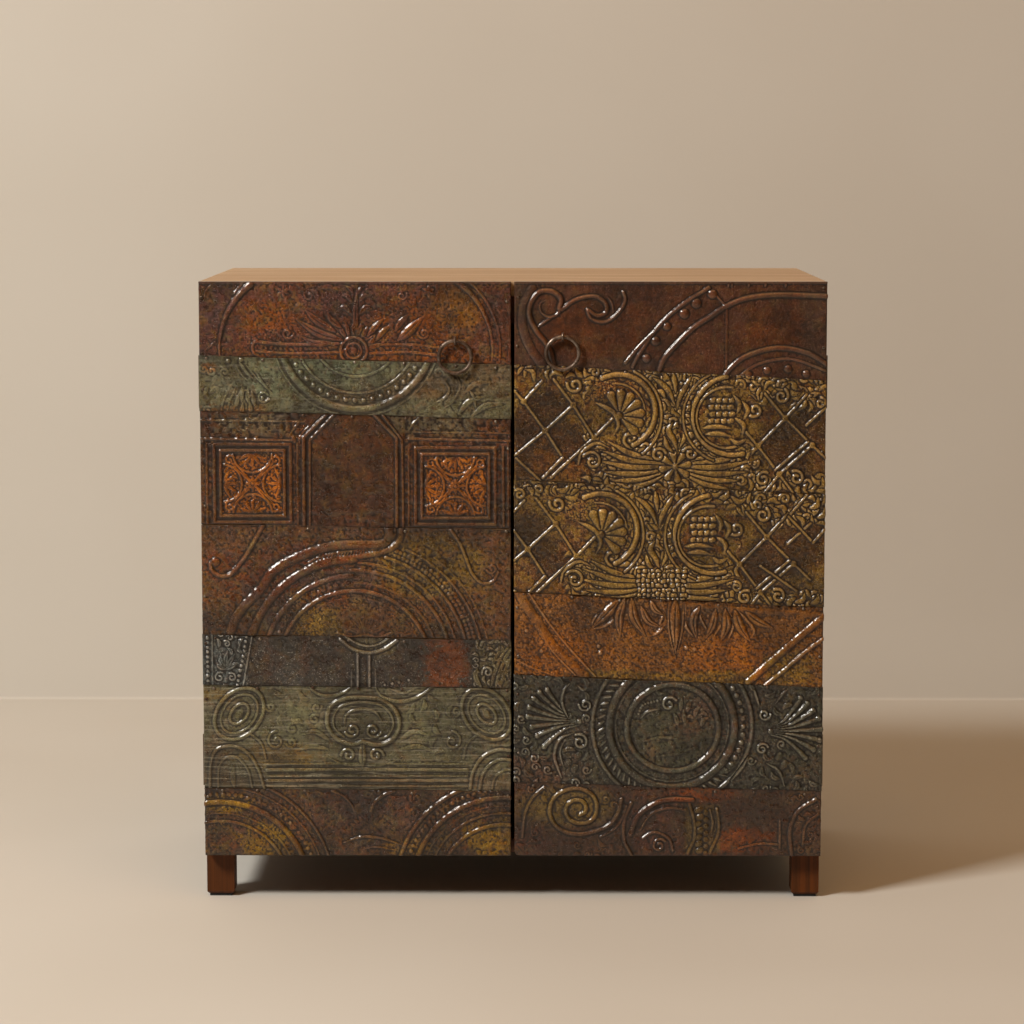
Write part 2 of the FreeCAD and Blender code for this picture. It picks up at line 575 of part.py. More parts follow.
class Door:
    """Turns shares of one door into places on its front, and builds relief there."""

    def __init__(self, side):
        self.side = side
        self.left = number(door_edges(side, "0")[0])
        self.wide = number("door_wide")
        self.top = number("overall_height")
        self.high = number("door_high")
        self.front = number("tin_front")
        self.thick = number("tin_thick")

    def spot(self, across_share, down_share, shift=(0, 0)):
        return Vector(self.left + (across_share + shift[0]) * self.wide, self.front,
                      self.top - (down_share + shift[1]) * self.high)

    def outline(self, inset):
        """The door's outline as a face, with the right door's rounded inner corner."""
        low_x, high_x = self.left + inset, self.left + self.wide - inset
        low_z, high_z = self.top - self.high + inset, self.top - inset
        corner = Vector(low_x, self.front, low_z)
        far = [Vector(high_x, self.front, low_z), Vector(high_x, self.front, high_z),
               Vector(low_x, self.front, high_z)]
        if self.side == "left":
            return Part.Face(Part.makePolygon([corner, *far, corner]))
        radius = number("corner_radius") - inset
        start, end = corner + Vector(0, 0, radius), corner + Vector(radius, 0, 0)
        swing = radius * (1 - math.cos(math.radians(45)))
        middle = corner + Vector(swing, 0, swing)
        arc = Part.Arc(start, middle, end).toShape()
        return Part.Face(Part.Wire([arc, *Part.makePolygon([end, *far, start]).Edges]))

    def profile(self, kind, centre, direction):
        """Roof section of a ridge: its foot lies inside the tin and its crest stands in front."""
        half = direction * (number(f"{kind}_wide") / 2)
        foot = Vector(0, self.thick / 2, 0)
        crest = centre - Vector(0, number(f"{kind}_high"), 0)
        return Part.makePolygon([centre - half + foot, centre + half + foot, crest, centre - half + foot])

    def arc(self, kind, across_share, down_share, radius_share, start, end, shift):
        """A ridge along an arc, in chords that leave the curve by the chord error at most."""
        centre = self.spot(across_share, down_share, shift)
        radius = radius_share * self.wide
        widest = 2 * math.degrees(math.acos(1 - number("chord_error") / radius))
        chords = math.ceil((end - start) / widest)
        turns = [start + (end - start) * index / chords for index in range(chords + 1)]
        out = Vector(radius, 0, 0)
        return self.ridge(kind, [centre + Rotation(Vector(0, -1, 0), turn).multVec(out) for turn in turns])

    def run(self, kind, *corners, shift):
        return self.ridge(kind, [self.spot(*corner, shift) for corner in corners])

    def ridge(self, kind, points):
        along = points[1] - points[0]
        side_on = along.cross(Vector(0, 1, 0)).normalize()
        sweep = Part.BRepOffsetAPI.MakePipeShell(Part.makePolygon(points))
        sweep.setTransitionMode(1)
        sweep.setBiNormalMode(Vector(0, 1, 0))
        sweep.add(self.profile(kind, points[0], side_on))
        sweep.build()
        sweep.makeSolid()
        return sweep.shape()

    def frame(self, kind, first, second, shift):
        corners = [(first[0], first[1]), (second[0], first[1]), (second[0], second[1]),
                   (first[0], second[1])]
        centres = [self.spot(*corner, shift) for corner in corners]
        ring = Part.Face(Part.makePolygon([*centres, centres[0]]))
        half = number(f"{kind}_wide") / 2
        foot = Vector(0, self.thick / 2, 0)
        crest = Vector(0, -number(f"{kind}_high"), 0)
        outer, inner = ring.makeOffset2D(half, 2).OuterWire, ring.makeOffset2D(-half, 2).OuterWire
        middle = ring.OuterWire.translated(crest)
        rise = Part.makeLoft([outer.translated(foot), middle], True, True)
        well = Part.makeLoft([inner.translated(foot), middle], True, True)
        return rise.cut(well)

    def oval(self, kind, across_share, down_share, long_share, short_share, tilt, shift):
        centre = self.spot(across_share, down_share, shift)
        turn = Rotation(Vector(0, -1, 0), tilt)
        faces = []
        for edge in (number(f"{kind}_wide") / 2, -number(f"{kind}_wide") / 2):
            points = []
            for index in range(OVAL_SIDES + 1):
                angle = 2 * math.pi * (index % OVAL_SIDES) / OVAL_SIDES
                reach = Vector((long_share * self.wide + edge) * math.cos(angle), self.thick / 2,
                               (short_share * self.wide + edge) * math.sin(angle))
                points.append(centre + turn.multVec(reach))
            faces.append(Part.Face(Part.makePolygon(points)))
        return faces[0].cut(faces[1]).extrude(Vector(0, -number(f"{kind}_high") - self.thick / 2, 0))

    def relief(self, shares, shift):
        makers = {"arc": self.arc, "run": self.run, "frame": self.frame, "oval": self.oval}
        return [makers[form](*rest, shift=shift) for form, *rest in shares]

    def strip(self, upper_seam, lower_seam, shares, shift):
        """One strip: a plate between two seams, folded round the core's edges, with its relief."""
        slack = Vector(0, 0, number("seam_gap") / 2)
        corners = [self.spot(0, upper_seam[0]) - slack, self.spot(1, upper_seam[1]) - slack,
                   self.spot(1, lower_seam[1]) + slack, self.spot(0, lower_seam[0]) + slack]
        overrun = number("cut_overrun")
        if upper_seam[0] == 0:
            corners[0] += Vector(0, 0, overrun)
            corners[1] += Vector(0, 0, overrun)
        if lower_seam[0] == 1:
            corners[2] -= Vector(0, 0, overrun)
            corners[3] -= Vector(0, 0, overrun)
        quad = Part.Face(Part.makePolygon([*corners, corners[0]]))
        face = self.outline(0).common(quad).Faces[0]
        folded = face.extrude(Vector(0, self.thick + number("tin_return"), 0))
        core_room = self.outline(self.thick).translated(Vector(0, self.thick, 0)).extrude(
            Vector(0, number("tin_return") + overrun, 0))
        plate = folded.cut(core_room)
        depth = number("bold_high") + overrun
        region = face.translated(Vector(0, self.thick / 2, 0)).extrude(
            Vector(0, -depth - self.thick / 2, 0))
        ridges = [ridge.common(region) for ridge in self.relief(shares, shift)]
        shape = plate.fuse([ridge for ridge in ridges if ridge.Volume > 0])
        hole_x, hole_z = number(pull_x(self.side)), number(pull_z(self.side))
        hole = Part.makeCylinder(number("shank_radius + shank_clear"), self.thick + 2 * overrun,
                                 Vector(hole_x, self.front - overrun, hole_z), Vector(0, 1, 0))
        return shape.cut(hole).removeSplitter()


for tin_side in SIDES:
    door = Door(tin_side)
    seams = SEAM_SHARES[tin_side]
    for index, strip_shares in enumerate(RELIEF_SHARES[tin_side]):
        strip_name = f"{tin_side}_tin_strip_{index + 1}"
        moved = TRELLIS_SHIFT_SHARES if tin_side == "right" and index == 2 else (0, 0)
        shape = door.strip(seams[index], seams[index + 1], strip_shares, moved)
        tin_piece = doc.addObject("Part::Feature", strip_name)
        tin_piece.Shape = shape.Solids[0] if len(shape.Solids) == 1 else shape
        tin_piece.Placement = Placement()
        node(tin_piece, strip_name)


# Butt hinges: two leaves with interlaced knuckles round one pin. Each leaf is drawn from the pin's
# axis, with x along the leaf, y towards the wood that it is let into, and z along the pin.
def hinge_leaf(name, notched, corner, turn):
    body = doc.addObject("PartDesign::Body", name)
    place(body, corner, turn)
    plate = body.newObject("PartDesign::AdditiveBox", f"{name}_plate")
    attach(plate, body, "XY_Plane", ("0", "leaf_gap / 2", "0"))
    bind(plate, {"Length": "leaf_wide", "Width": "leaf_thick", "Height": "hinge_length"})
    round_feature(body, "Additive", f"{name}_barrel", "XY_Plane", ("0", "0", "0"), "barrel_radius",
                  "hinge_length")
    round_feature(body, "Subtractive", f"{name}_bore", "XY_Plane", ("0", "0", "-cut_overrun"),
                  "bore_radius", "hinge_length + 2 * cut_overrun")
    pitch = f"hinge_length / {KNUCKLES}"
    reach = "(barrel_radius + cut_overrun)"
    for index in notched:
        low_more = "cut_overrun" if index == 0 else "knuckle_clear / 2"
        high_more = "cut_overrun" if index == KNUCKLES - 1 else "knuckle_clear / 2"
        carve(body, f"{name}_notch_{index}", (f"-{reach}", f"{reach} + barrel_radius + notch_clear"),
              (f"-{reach}", f"2 * {reach}"),
              (f"{index} * {pitch} - {low_more}", f"{pitch} + {low_more} + {high_more}"))
    return node(body, name)


LEAF_TURNS = {
    ("left", "post"): Rotation(),
    ("left", "door"): Rotation(Vector(1, 0, 0), 180),
    ("right", "post"): Rotation(Vector(0, 1, 0), 180),
    ("right", "door"): Rotation(Vector(0, 0, 1), 180),
}
hinge_pins = []
for hinge_side in SIDES:
    for hinge_level, hinge_z in HINGE_Z.items():
        for carrier in ("post", "door"):
            leaf_turn = LEAF_TURNS[hinge_side, carrier]
            # A leaf that hangs down from its origin starts at the barrel's upper end.
            hangs = leaf_turn.multVec(Vector(0, 0, 1)).z < 0
            start_z = f"{hinge_z} + hinge_length" if hangs else hinge_z
            hinge_leaf(f"{hinge_side}_{hinge_level}_{carrier}_leaf",
                       range(1, KNUCKLES, 2) if carrier == "post" else range(0, KNUCKLES, 2),
                       (hinge_axis_x(hinge_side), "hinge_y", start_z), leaf_turn)
        pin = doc.addObject("Part::Cylinder", f"{hinge_side}_{hinge_level}_pin")
        bind(pin, {"Radius": "pin_radius", "Height": "hinge_length + 2 * pin_proud"})
        place(pin, (hinge_axis_x(hinge_side), "hinge_y", f"{hinge_z} - pin_proud"))
        hinge_pins.append(pin)
pin_group = doc.addObject("Part::Compound", "hinge_pins")
pin_group.Links = hinge_pins
node(pin_group, "hinge_pins")


# Ring pulls. The eye is a flat forged ring on a threaded shank, which goes through the tin and the
# core to a washer and nut in the recess. The ring hangs in it, free to swing up.
def pull_eye(side):
    name = f"{side}_pull_eye"
    body = doc.addObject("PartDesign::Body", name)
    place(body, (pull_x(side), "pull_y", pull_z(side)))
    round_feature(body, "Additive", f"{name}_head", "YZ_Plane", ("0", "0", "-eye_wide / 2"),
                  "eye_radius", "eye_wide")
    round_feature(body, "Subtractive", f"{name}_bore", "YZ_Plane", ("0", "0", "-eye_wide / 2 - cut_overrun"),
                  "eye_bore", "eye_wide + 2 * cut_overrun")
    shank_end = "eye_stand + tin_thick + core_thick - shank_setback"
    shank_start = "(eye_radius + eye_bore) / 2"
    round_feature(body, "Additive", f"{name}_shank", "XZ_Plane", ("0", "0", f"-({shank_end})"),
                  "shank_radius", f"{shank_end} - {shank_start}")
    return node(body, name)


def prism_feature(body, kind, name, radius, near, length):
    """Adds or cuts a prism with the ring's number of sides, along Y from a distance in front."""
    feature = body.newObject(f"PartDesign::{kind}Prism", name)
    feature.Polygon = RING_SIDES
    attach(feature, body, "XZ_Plane", ("0", "0", near))
    return bind(feature, {"Circumradius": radius, "Height": length})


def pull_ring(side):
    name = f"{side}_ring"
    body = doc.addObject("PartDesign::Body", name)
    place(body, (pull_x(side), "pull_y", f"{pull_z(side)} - ring_radius"))
    prism_feature(body, "Additive", f"{name}_outside", "ring_radius + wire_radius", "-wire_radius",
                  "2 * wire_radius")
    hollow = prism_feature(body, "Subtractive", f"{name}_inside", "ring_radius - wire_radius",
                           "-wire_radius - cut_overrun", "2 * (wire_radius + cut_overrun)")
    doc.recompute()
    chamfer = body.newObject("PartDesign::Chamfer", f"{name}_wire")
    chamfer.Base = (hollow, edge_names(hollow.Shape, lambda room: room.YLength < TOUCH))
    bind(chamfer, {"Size": "wire_chamfer"})
    return node(body, name)


def drilled(name, blank, bore_radius, bore_long, corner):
    """A square or six-sided blank with a hole down its axis, turned to lie along Y."""
    bore = doc.addObject("Part::Cylinder", f"{name}_bore")
    bind(bore, {"Radius": bore_radius, "Height": f"{bore_long} + 2 * cut_overrun"})
    place(bore, ("0", "0", "-cut_overrun"))
    return node(place(cut(name, blank, bore), corner, Rotation(Vector(1, 0, 0), -90)), name)


for pull_side in SIDES:
    pull_eye(pull_side)
    washer_blank = box(f"{pull_side}_washer_blank", ("-washer_wide / 2", "-washer_wide / 2", "0"),
                       ("washer_wide", "washer_wide", "washer_thick"))
    drilled(f"{pull_side}_pull_washer", washer_blank, "shank_radius + shank_clear", "washer_thick",
            (pull_x(pull_side), "door_back - recess_depth", pull_z(pull_side)))
    nut_blank = doc.addObject("Part::Prism", f"{pull_side}_nut_blank")
    nut_blank.Polygon = NUT_SIDES
    bind(nut_blank, {"Circumradius": "nut_radius", "Height": "nut_high"})
    drilled(f"{pull_side}_pull_nut", nut_blank, "shank_radius + thread_clear", "nut_high",
            (pull_x(pull_side), "door_back - recess_depth + washer_thick", pull_z(pull_side)))
    pull_ring(pull_side)

# Magnetic catches under the front rail, and the plate on each door that they hold
for catch_side in SIDES:
    middle = "catch_offset + catch_wide / 2"
    centre = f"-({middle})" if catch_side == "left" else middle
    catch_name = f"{catch_side}_catch"
    case = block(f"{catch_name}_case", (f"{centre} - catch_wide / 2", "catch_wide"),
                 ("carcass_front", "catch_depth"), ("front_rail_bottom - catch_high", "catch_high"))
    foot = block(f"{catch_name}_foot", (f"{centre} - catch_foot_wide / 2", "catch_foot_wide"),
                 ("carcass_front + catch_depth / 4", "catch_depth / 2"),
                 ("front_rail_bottom - catch_foot_thick", "catch_foot_thick"))
    node(fused(catch_name, case, foot), catch_name)
    strike_name = f"{catch_side}_strike_plate"
    node(block(strike_name, (f"{centre} - strike_wide / 2", "strike_wide"), ("door_back", "strike_thick"),
               ("front_rail_bottom - (catch_high + strike_high) / 2", "strike_high")), strike_name)

doc.recompute()
for item in doc.Objects:
    if "Invalid" in item.State or "Error" in item.State:
        raise RuntimeError(f"{item.Label} did not compute: {item.State}")
os.makedirs("parts", exist_ok=True)
for piece in nodes:
    if piece.Shape.isNull() or not piece.Shape.isValid():
        raise RuntimeError(f"{piece.Label} has no valid shape")
for piece in nodes:
    piece.Shape.exportStep(f"parts/{piece.Label}.step")
print(len(nodes), "sub-parts written")
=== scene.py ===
import json
import math

import bmesh
import bpy
import numpy as np
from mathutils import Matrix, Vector

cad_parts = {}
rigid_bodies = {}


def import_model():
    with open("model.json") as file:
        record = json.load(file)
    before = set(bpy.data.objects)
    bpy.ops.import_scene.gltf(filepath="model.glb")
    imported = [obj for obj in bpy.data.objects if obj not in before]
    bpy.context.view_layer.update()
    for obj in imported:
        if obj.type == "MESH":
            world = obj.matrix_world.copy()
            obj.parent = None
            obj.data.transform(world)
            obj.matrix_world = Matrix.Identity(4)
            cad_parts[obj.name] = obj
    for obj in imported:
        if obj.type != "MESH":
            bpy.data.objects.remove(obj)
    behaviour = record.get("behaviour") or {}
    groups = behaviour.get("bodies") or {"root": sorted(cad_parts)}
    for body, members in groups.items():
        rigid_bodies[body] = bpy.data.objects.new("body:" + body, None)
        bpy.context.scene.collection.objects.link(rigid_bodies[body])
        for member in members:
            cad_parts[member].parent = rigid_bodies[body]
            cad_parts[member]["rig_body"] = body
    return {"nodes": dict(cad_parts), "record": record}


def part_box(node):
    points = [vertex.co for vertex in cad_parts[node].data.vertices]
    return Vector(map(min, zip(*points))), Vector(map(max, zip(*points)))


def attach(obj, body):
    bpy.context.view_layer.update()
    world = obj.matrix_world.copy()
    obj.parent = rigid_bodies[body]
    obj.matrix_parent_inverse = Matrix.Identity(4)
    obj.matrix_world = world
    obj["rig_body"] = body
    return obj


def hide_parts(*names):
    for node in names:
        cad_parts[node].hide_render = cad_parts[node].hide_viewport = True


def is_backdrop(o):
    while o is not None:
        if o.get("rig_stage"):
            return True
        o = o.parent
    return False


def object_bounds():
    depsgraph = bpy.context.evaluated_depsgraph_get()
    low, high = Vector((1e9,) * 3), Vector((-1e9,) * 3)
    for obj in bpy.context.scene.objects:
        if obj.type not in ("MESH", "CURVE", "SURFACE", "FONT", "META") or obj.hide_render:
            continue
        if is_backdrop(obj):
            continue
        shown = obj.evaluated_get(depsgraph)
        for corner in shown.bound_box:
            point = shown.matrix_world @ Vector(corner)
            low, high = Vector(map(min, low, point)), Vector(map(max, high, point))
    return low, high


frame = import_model()
cad_low, cad_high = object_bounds()

# A free-standing wooden cabinet. Its two overlay doors are clad in strips of old pressed tin, each
# strip from another sheet. It stands on z = 0 and its doors face -Y.

# Top board: one wide board of mango wood, planed, its arrises eased with a few strokes of a plane
# and the whole oiled. Straight grain runs along the width, with darker streaks and open pores.
MM = 0.001


def linear(hex_colour):
    """An sRGB hex colour as the linear colour that a shader takes."""
    parts = [int(hex_colour[i:i + 2], 16) / 255 for i in (1, 3, 5)]
    return [p / 12.92 if p <= 0.04045 else ((p + 0.055) / 1.055) ** 2.4 for p in parts] + [1.0]


def add(tree, kind, inputs=None, **settings):
    """Adds a node. A value in inputs sets that socket, and a socket there is linked to it."""
    node = tree.nodes.new(kind)
    for name, value in settings.items():
        setattr(node, name, value)
    for key, value in (inputs or {}).items():
        socket = node.inputs[key]
        if isinstance(value, bpy.types.NodeSocket):
            tree.links.new(value, socket)
        elif isinstance(value, str) and value.startswith("#"):
            socket.default_value = linear(value)
        else:
            socket.default_value = value
    return node


def blank(name):
    """A new material with its shader, its tree, and the object's own coordinates in metres."""
    material = bpy.data.materials.new(name)
    material.use_nodes = True
    tree = material.node_tree
    shader = tree.nodes["Principled BSDF"]
    where = add(tree, "ShaderNodeTexCoord").outputs["Object"]
    return material, tree, shader, where


def noise(tree, where, size_mm, detail, rough=0.55, warp=0.0, shift=0.0):
    """Noise whose features are about size_mm across, one number or one for each axis."""
    sizes = size_mm if isinstance(size_mm, tuple) else (size_mm,) * 3
    spot = add(tree, "ShaderNodeMapping", {"Vector": where, "Scale": [1 / (s * MM) for s in sizes],
                                           "Location": (shift, shift, shift)}).outputs[0]
    return add(tree, "ShaderNodeTexNoise", {"Vector": spot, "Scale": 1.0, "Detail": detail,
                                            "Roughness": rough, "Distortion": warp}).outputs["Fac"]


def ramp(tree, value, low, high, first=0.0, last=1.0):
    """Turns low to high into first to last, and holds the ends."""
    return add(tree, "ShaderNodeMapRange", {"Value": value, "From Min": low, "From Max": high,
                                            "To Min": first, "To Max": last},
               interpolation_type="SMOOTHSTEP").outputs[0]


def mixed(tree, share, one, other):
    """Colour one, going over to the other as share goes to 1."""
    return add(tree, "ShaderNodeMix", {0: share, 6: one, 7: other}, data_type="RGBA").outputs[2]


def maths(tree, one, other, how="MULTIPLY"):
    return add(tree, "ShaderNodeMath", {0: one, 1: other}, operation=how).outputs[0]


def wood(name, pale, dark, streak, along, rough, bump=0.25, across="", board_mm=0.0, shine=0.5):
    """Planed wood, grain along one axis. Growth bands are some 11 mm apart, pores under 1 mm wide.
    The colour drifts along a board, streaks are long and thin, and pores show as short dark dashes.
    Where boards are glued side by side, each has its own tone, and its grain starts elsewhere."""
    material, tree, shader, where = blank(name)
    if board_mm:
        place = add(tree, "ShaderNodeSeparateXYZ", {0: where}).outputs[across.upper()]
        number = maths(tree, maths(tree, place, 1 / (board_mm * MM)), 0.0, "FLOOR")
        own = add(tree, "ShaderNodeTexWhiteNoise", {"W": number}, noise_dimensions="1D").outputs["Value"]
        tone = ramp(tree, own, 0.0, 1.0, 0.84, 1.14)
        where = add(tree, "ShaderNodeVectorMath", {0: where, 1: own}, operation="ADD").outputs[0]

    def run(short, long):
        return tuple(long if axis == along else short for axis in "xyz")

    drift = noise(tree, where, run(60, 700), 3)
    bands = noise(tree, where, run(11, 420), 5, 0.6, 0.6)
    lines = noise(tree, where, run(2.2, 160), 3, 0.6)
    pores = noise(tree, where, run(0.9, 14), 2, 0.5)
    colour = mixed(tree, ramp(tree, bands, 0.35, 0.68), pale, dark)
    colour = mixed(tree, maths(tree, ramp(tree, lines, 0.45, 0.75), 0.55), colour, streak)
    colour = mixed(tree, maths(tree, ramp(tree, drift, 0.4, 0.65), 0.6), colour, dark)
    colour = mixed(tree, maths(tree, ramp(tree, pores, 0.62, 0.74), 0.5), colour, streak)
    if board_mm:
        colour = add(tree, "ShaderNodeHueSaturation", {"Color": colour, "Value": tone}).outputs[0]
    tree.links.new(colour, shader.inputs["Base Color"])
    tree.links.new(ramp(tree, lines, 0.2, 0.8, rough - 0.08, rough + 0.1), shader.inputs["Roughness"])
    height = maths(tree, maths(tree, lines, 0.6), maths(tree, ramp(tree, pores, 0.55, 0.75), -0.8), "ADD")
    shader.inputs["IOR"].default_value = 1.5
    shader.inputs["Specular IOR Level"].default_value = shine
    tree.links.new(add(tree, "ShaderNodeBump", {"Height": height, "Strength": bump,
                                                "Distance": 0.0005}).outputs[0], shader.inputs["Normal"])
    return material


def placed(name, data):
    """A new object in the scene."""
    item = bpy.data.objects.new(name, data)
    bpy.context.scene.collection.objects.link(item)
    return item


def meshed(build, name):
    """The mesh of a finished bmesh."""
    mesh = bpy.data.meshes.new(name)
    build.to_mesh(mesh)
    build.free()
    return mesh


def ready(name, mesh, material, body, slot, *nodes):
    """Puts a finished mesh in the scene as a piece that rides on a body and stands for CAD nodes."""
    piece = placed(name, mesh)
    mesh.materials.clear()
    mesh.materials.append(material)
    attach(piece, body)
    if nodes:
        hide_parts(*nodes)
    return piece


def as_mesh(piece):
    """The piece's mesh with its modifiers applied. The piece itself goes."""
    graph = bpy.context.evaluated_depsgraph_get()
    mesh = bpy.data.meshes.new_from_object(piece.evaluated_get(graph))
    bpy.data.objects.remove(piece)
    return mesh


def eased(node, ease_mm, material):
    """Finishes a CAD node: a copy whose edges are eased."""
    source = frame["nodes"][node]
    build = bmesh.new()
    build.from_mesh(source.data)
    bmesh.ops.remove_doubles(build, verts=build.verts, dist=1e-6)
    bmesh.ops.dissolve_limit(build, angle_limit=math.radians(1), verts=build.verts, edges=build.edges)
    piece = placed(f"{node}_draft", meshed(build, node))
    bevel = piece.modifiers.new("ease", "BEVEL")
    bevel.width = ease_mm * MM
    bevel.segments = 3
    bevel.limit_method = "ANGLE"
    bevel.angle_limit = math.radians(30)
    bevel.harden_normals = True
    mesh = as_mesh(piece)
    mesh.name = f"{node}_eased"
    return ready(f"{node}_finished", mesh, material, source["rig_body"], slot_of[node], node)


slot_of = {part["node"]: part["material_slot"] for part in frame["record"]["subparts"]}
mango = wood("oiled mango wood", "#c2a786", "#a48664", "#7c6143", "x", 0.55)
eased("top_board", 1.4, mango)

# Posts, rails and bottom board: hardwood stained dark red-brown, planed square, the posts' arrises
# rubbed round. The stain sits deeper in the pores and in the darker bands.
STAINED = ("#5f300e", "#442208", "#281304")
stained_upright = wood("dark stained hardwood, grain upright", "#66340c", "#482507", "#2a1404", "z", 0.5,
                       shine=0.25)
stained_across = wood("dark stained hardwood, grain across", *STAINED, "x", 0.5)
stained_deep = wood("dark stained hardwood, grain front to back", *STAINED, "y", 0.5)
for row in ("front", "back"):
    for side in ("left", "right"):
        eased(f"{row}_{side}_post", 1.2, stained_upright)
eased("bottom_board", 1.0, stained_across)
for node in ("front_top_rail", "back_upper_rail", "back_lower_rail"):
    eased(node, 0.8, stained_across)
for side in ("left", "right"):
    for level in ("upper", "lower"):
        eased(f"{side}_{level}_rail", 0.8, stained_deep)
    eased(f"{side}_panel", 0.4, stained_upright)

# Inside: back panel, shelf, its cleats and the door cores, of the same pale wood as the top but
# sawn and left without oil, so they are drier, greyer and rougher.
DRY = ("#b29068", "#96744c", "#755435")
dry_across = wood("dry mango boards, grain across", *DRY, "x", 0.7, 0.4, "y", 121)
dry_deep = wood("dry mango wood, grain front to back", *DRY, "y", 0.7, 0.4)
dry_upright = wood("dry mango boards, grain upright", *DRY, "z", 0.7, 0.4, "x", 112)
eased("shelf", 1.0, dry_across)
eased("back_panel", 0.4, dry_upright)
for side in ("left", "right"):
    eased(f"{side}_shelf_cleat", 0.8, dry_deep)
    eased(f"{side}_door_core", 0.6, dry_upright)

# Tin strips: each was cut from an old pressed ceiling sheet, laid on the door core, folded back
# round its edges and tacked. The sheet is raised in ridges, beads and leaves, dented and wavy.
# Places are in mm from the cabinet's left edge and down from its top, as the front is seen.
STEP = 1.1           # between points of the sheet
TURN = 1.5           # radius of the fold at a door's edge
FOLD = 13.0          # how far the sheet goes back behind that fold
SHEET = 0.7          # thickness of the sheet
SPACING = 140        # degrees times mm of radius, so that a curve's points are about 2.4 mm apart
WIDE = 447.5         # width of a door
DOORS = {"left": (0, WIDE), "right": (452.5, 900)}
# Seams between the strips, from the top down. Then the doors' feet: the right one has a snipped
# inner corner.
SEAMS = {"left": [((0, 105.6), (447.5, 119.8)), ((0, 185.2), (447.5, 196.9)), ((0, 350.3), (447.5, 357)),
                  ((0, 511.2), (447.5, 518.7)), ((0, 584.9), (447.5, 590)), ((0, 738.3), (447.5, 741.6))],
         "right": [((452.5, 118.2), (900, 141.6)), ((452.5, 284.9), (900, 306.7)),
                   ((452.5, 448.3), (900, 470.1)), ((452.5, 569.8), (900, 588.3)),
                   ((452.5, 728.2), (900, 741.6))]}
FEET = {"left": ((0, 838), (447.5, 838)),
        "right": ((452.5, 831), (453.0, 833.6), (454.2, 835.6), (456.2, 837.2), (459.5, 838), (900, 838))}
tin_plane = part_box("left_door_core")[0].y / MM - 1.0
top_edge = cad_high.z / MM
left_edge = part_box("left_tin_strip_3")[0].x / MM


def arc(x, y, radius, start, end):
    """Points along an arc. Angles are in degrees: 0 is right and 90 is up."""
    count = max(4, int(abs(end - start) * radius / SPACING) + 2)
    turn = np.radians(np.linspace(start, end, count))
    return np.column_stack((x + radius * np.cos(turn), y - radius * np.sin(turn)))


def oval(x, y, long, short, tilt):
    """Points round an oval. Its long half axis is tilted by some degrees."""
    count = max(8, int(360 * long / SPACING) + 2)
    turn, lean = np.radians(np.linspace(0, 360, count)), math.radians(tilt)
    along, across = long * np.cos(turn), short * np.sin(turn)
    return np.column_stack((x + along * math.cos(lean) - across * math.sin(lean),
                            y - along * math.sin(lean) - across * math.cos(lean)))


def curl(x, y, outer, inner, start, degrees):
    """A spiral that closes in from its outer to its inner radius, anticlockwise if degrees > 0."""
    share = np.linspace(0, 1, max(8, int(abs(degrees) * outer / SPACING) + 4))
    turn = np.radians(start + degrees * share)
    radius = outer + (inner - outer) * share ** 0.8
    return np.column_stack((x + radius * np.cos(turn), y - radius * np.sin(turn)))


def bow(*points):
    """A smooth curve through a few points."""
    spots = np.array(points, float)
    if len(spots) == 2:
        return np.linspace(spots[0], spots[1], 6)
    padded = np.vstack((2 * spots[0] - spots[1], spots, 2 * spots[-1] - spots[-2]))
    run = []
    for a, b, c, d in zip(padded[:-3], padded[1:-2], padded[2:-1], padded[3:]):
        count = max(2, int(np.hypot(*(c - b)) / 2.5))
        t = np.linspace(0, 1, count, endpoint=False)[:, None]
        run.append(b + 0.5 * t * ((c - a) + t * (2 * a - 5 * b + 4 * c - d + t * (3 * (b - c) + d - a))))
    return np.vstack([*run, spots[-1:]])


def off(x, y, reach, turn):
    """The point that lies at a reach from another, in a direction in degrees."""
    a = math.radians(turn)
    return x + reach * math.cos(a), y - reach * math.sin(a)


def bent(x, y, reach, turn, by):
    """A short curve through a point that comes in one way and leaves turned by some degrees."""
    return bow(off(x, y, -reach, turn), (x, y), off(x, y, reach, turn + by))


def softened(field, width):
    """The field blurred over a few points to each side."""
    weights = np.hanning(2 * width + 3)[1:-1]
    weights /= weights.sum()
    for axis in (0, 1):
        edges = [(width, width) if a == axis else (0, 0) for a in (0, 1)]
        padded = np.pad(field, edges, mode="edge")
        field = sum(w * np.take(padded, np.arange(i, i + field.shape[axis]), axis)
                    for i, w in enumerate(weights))
    return field


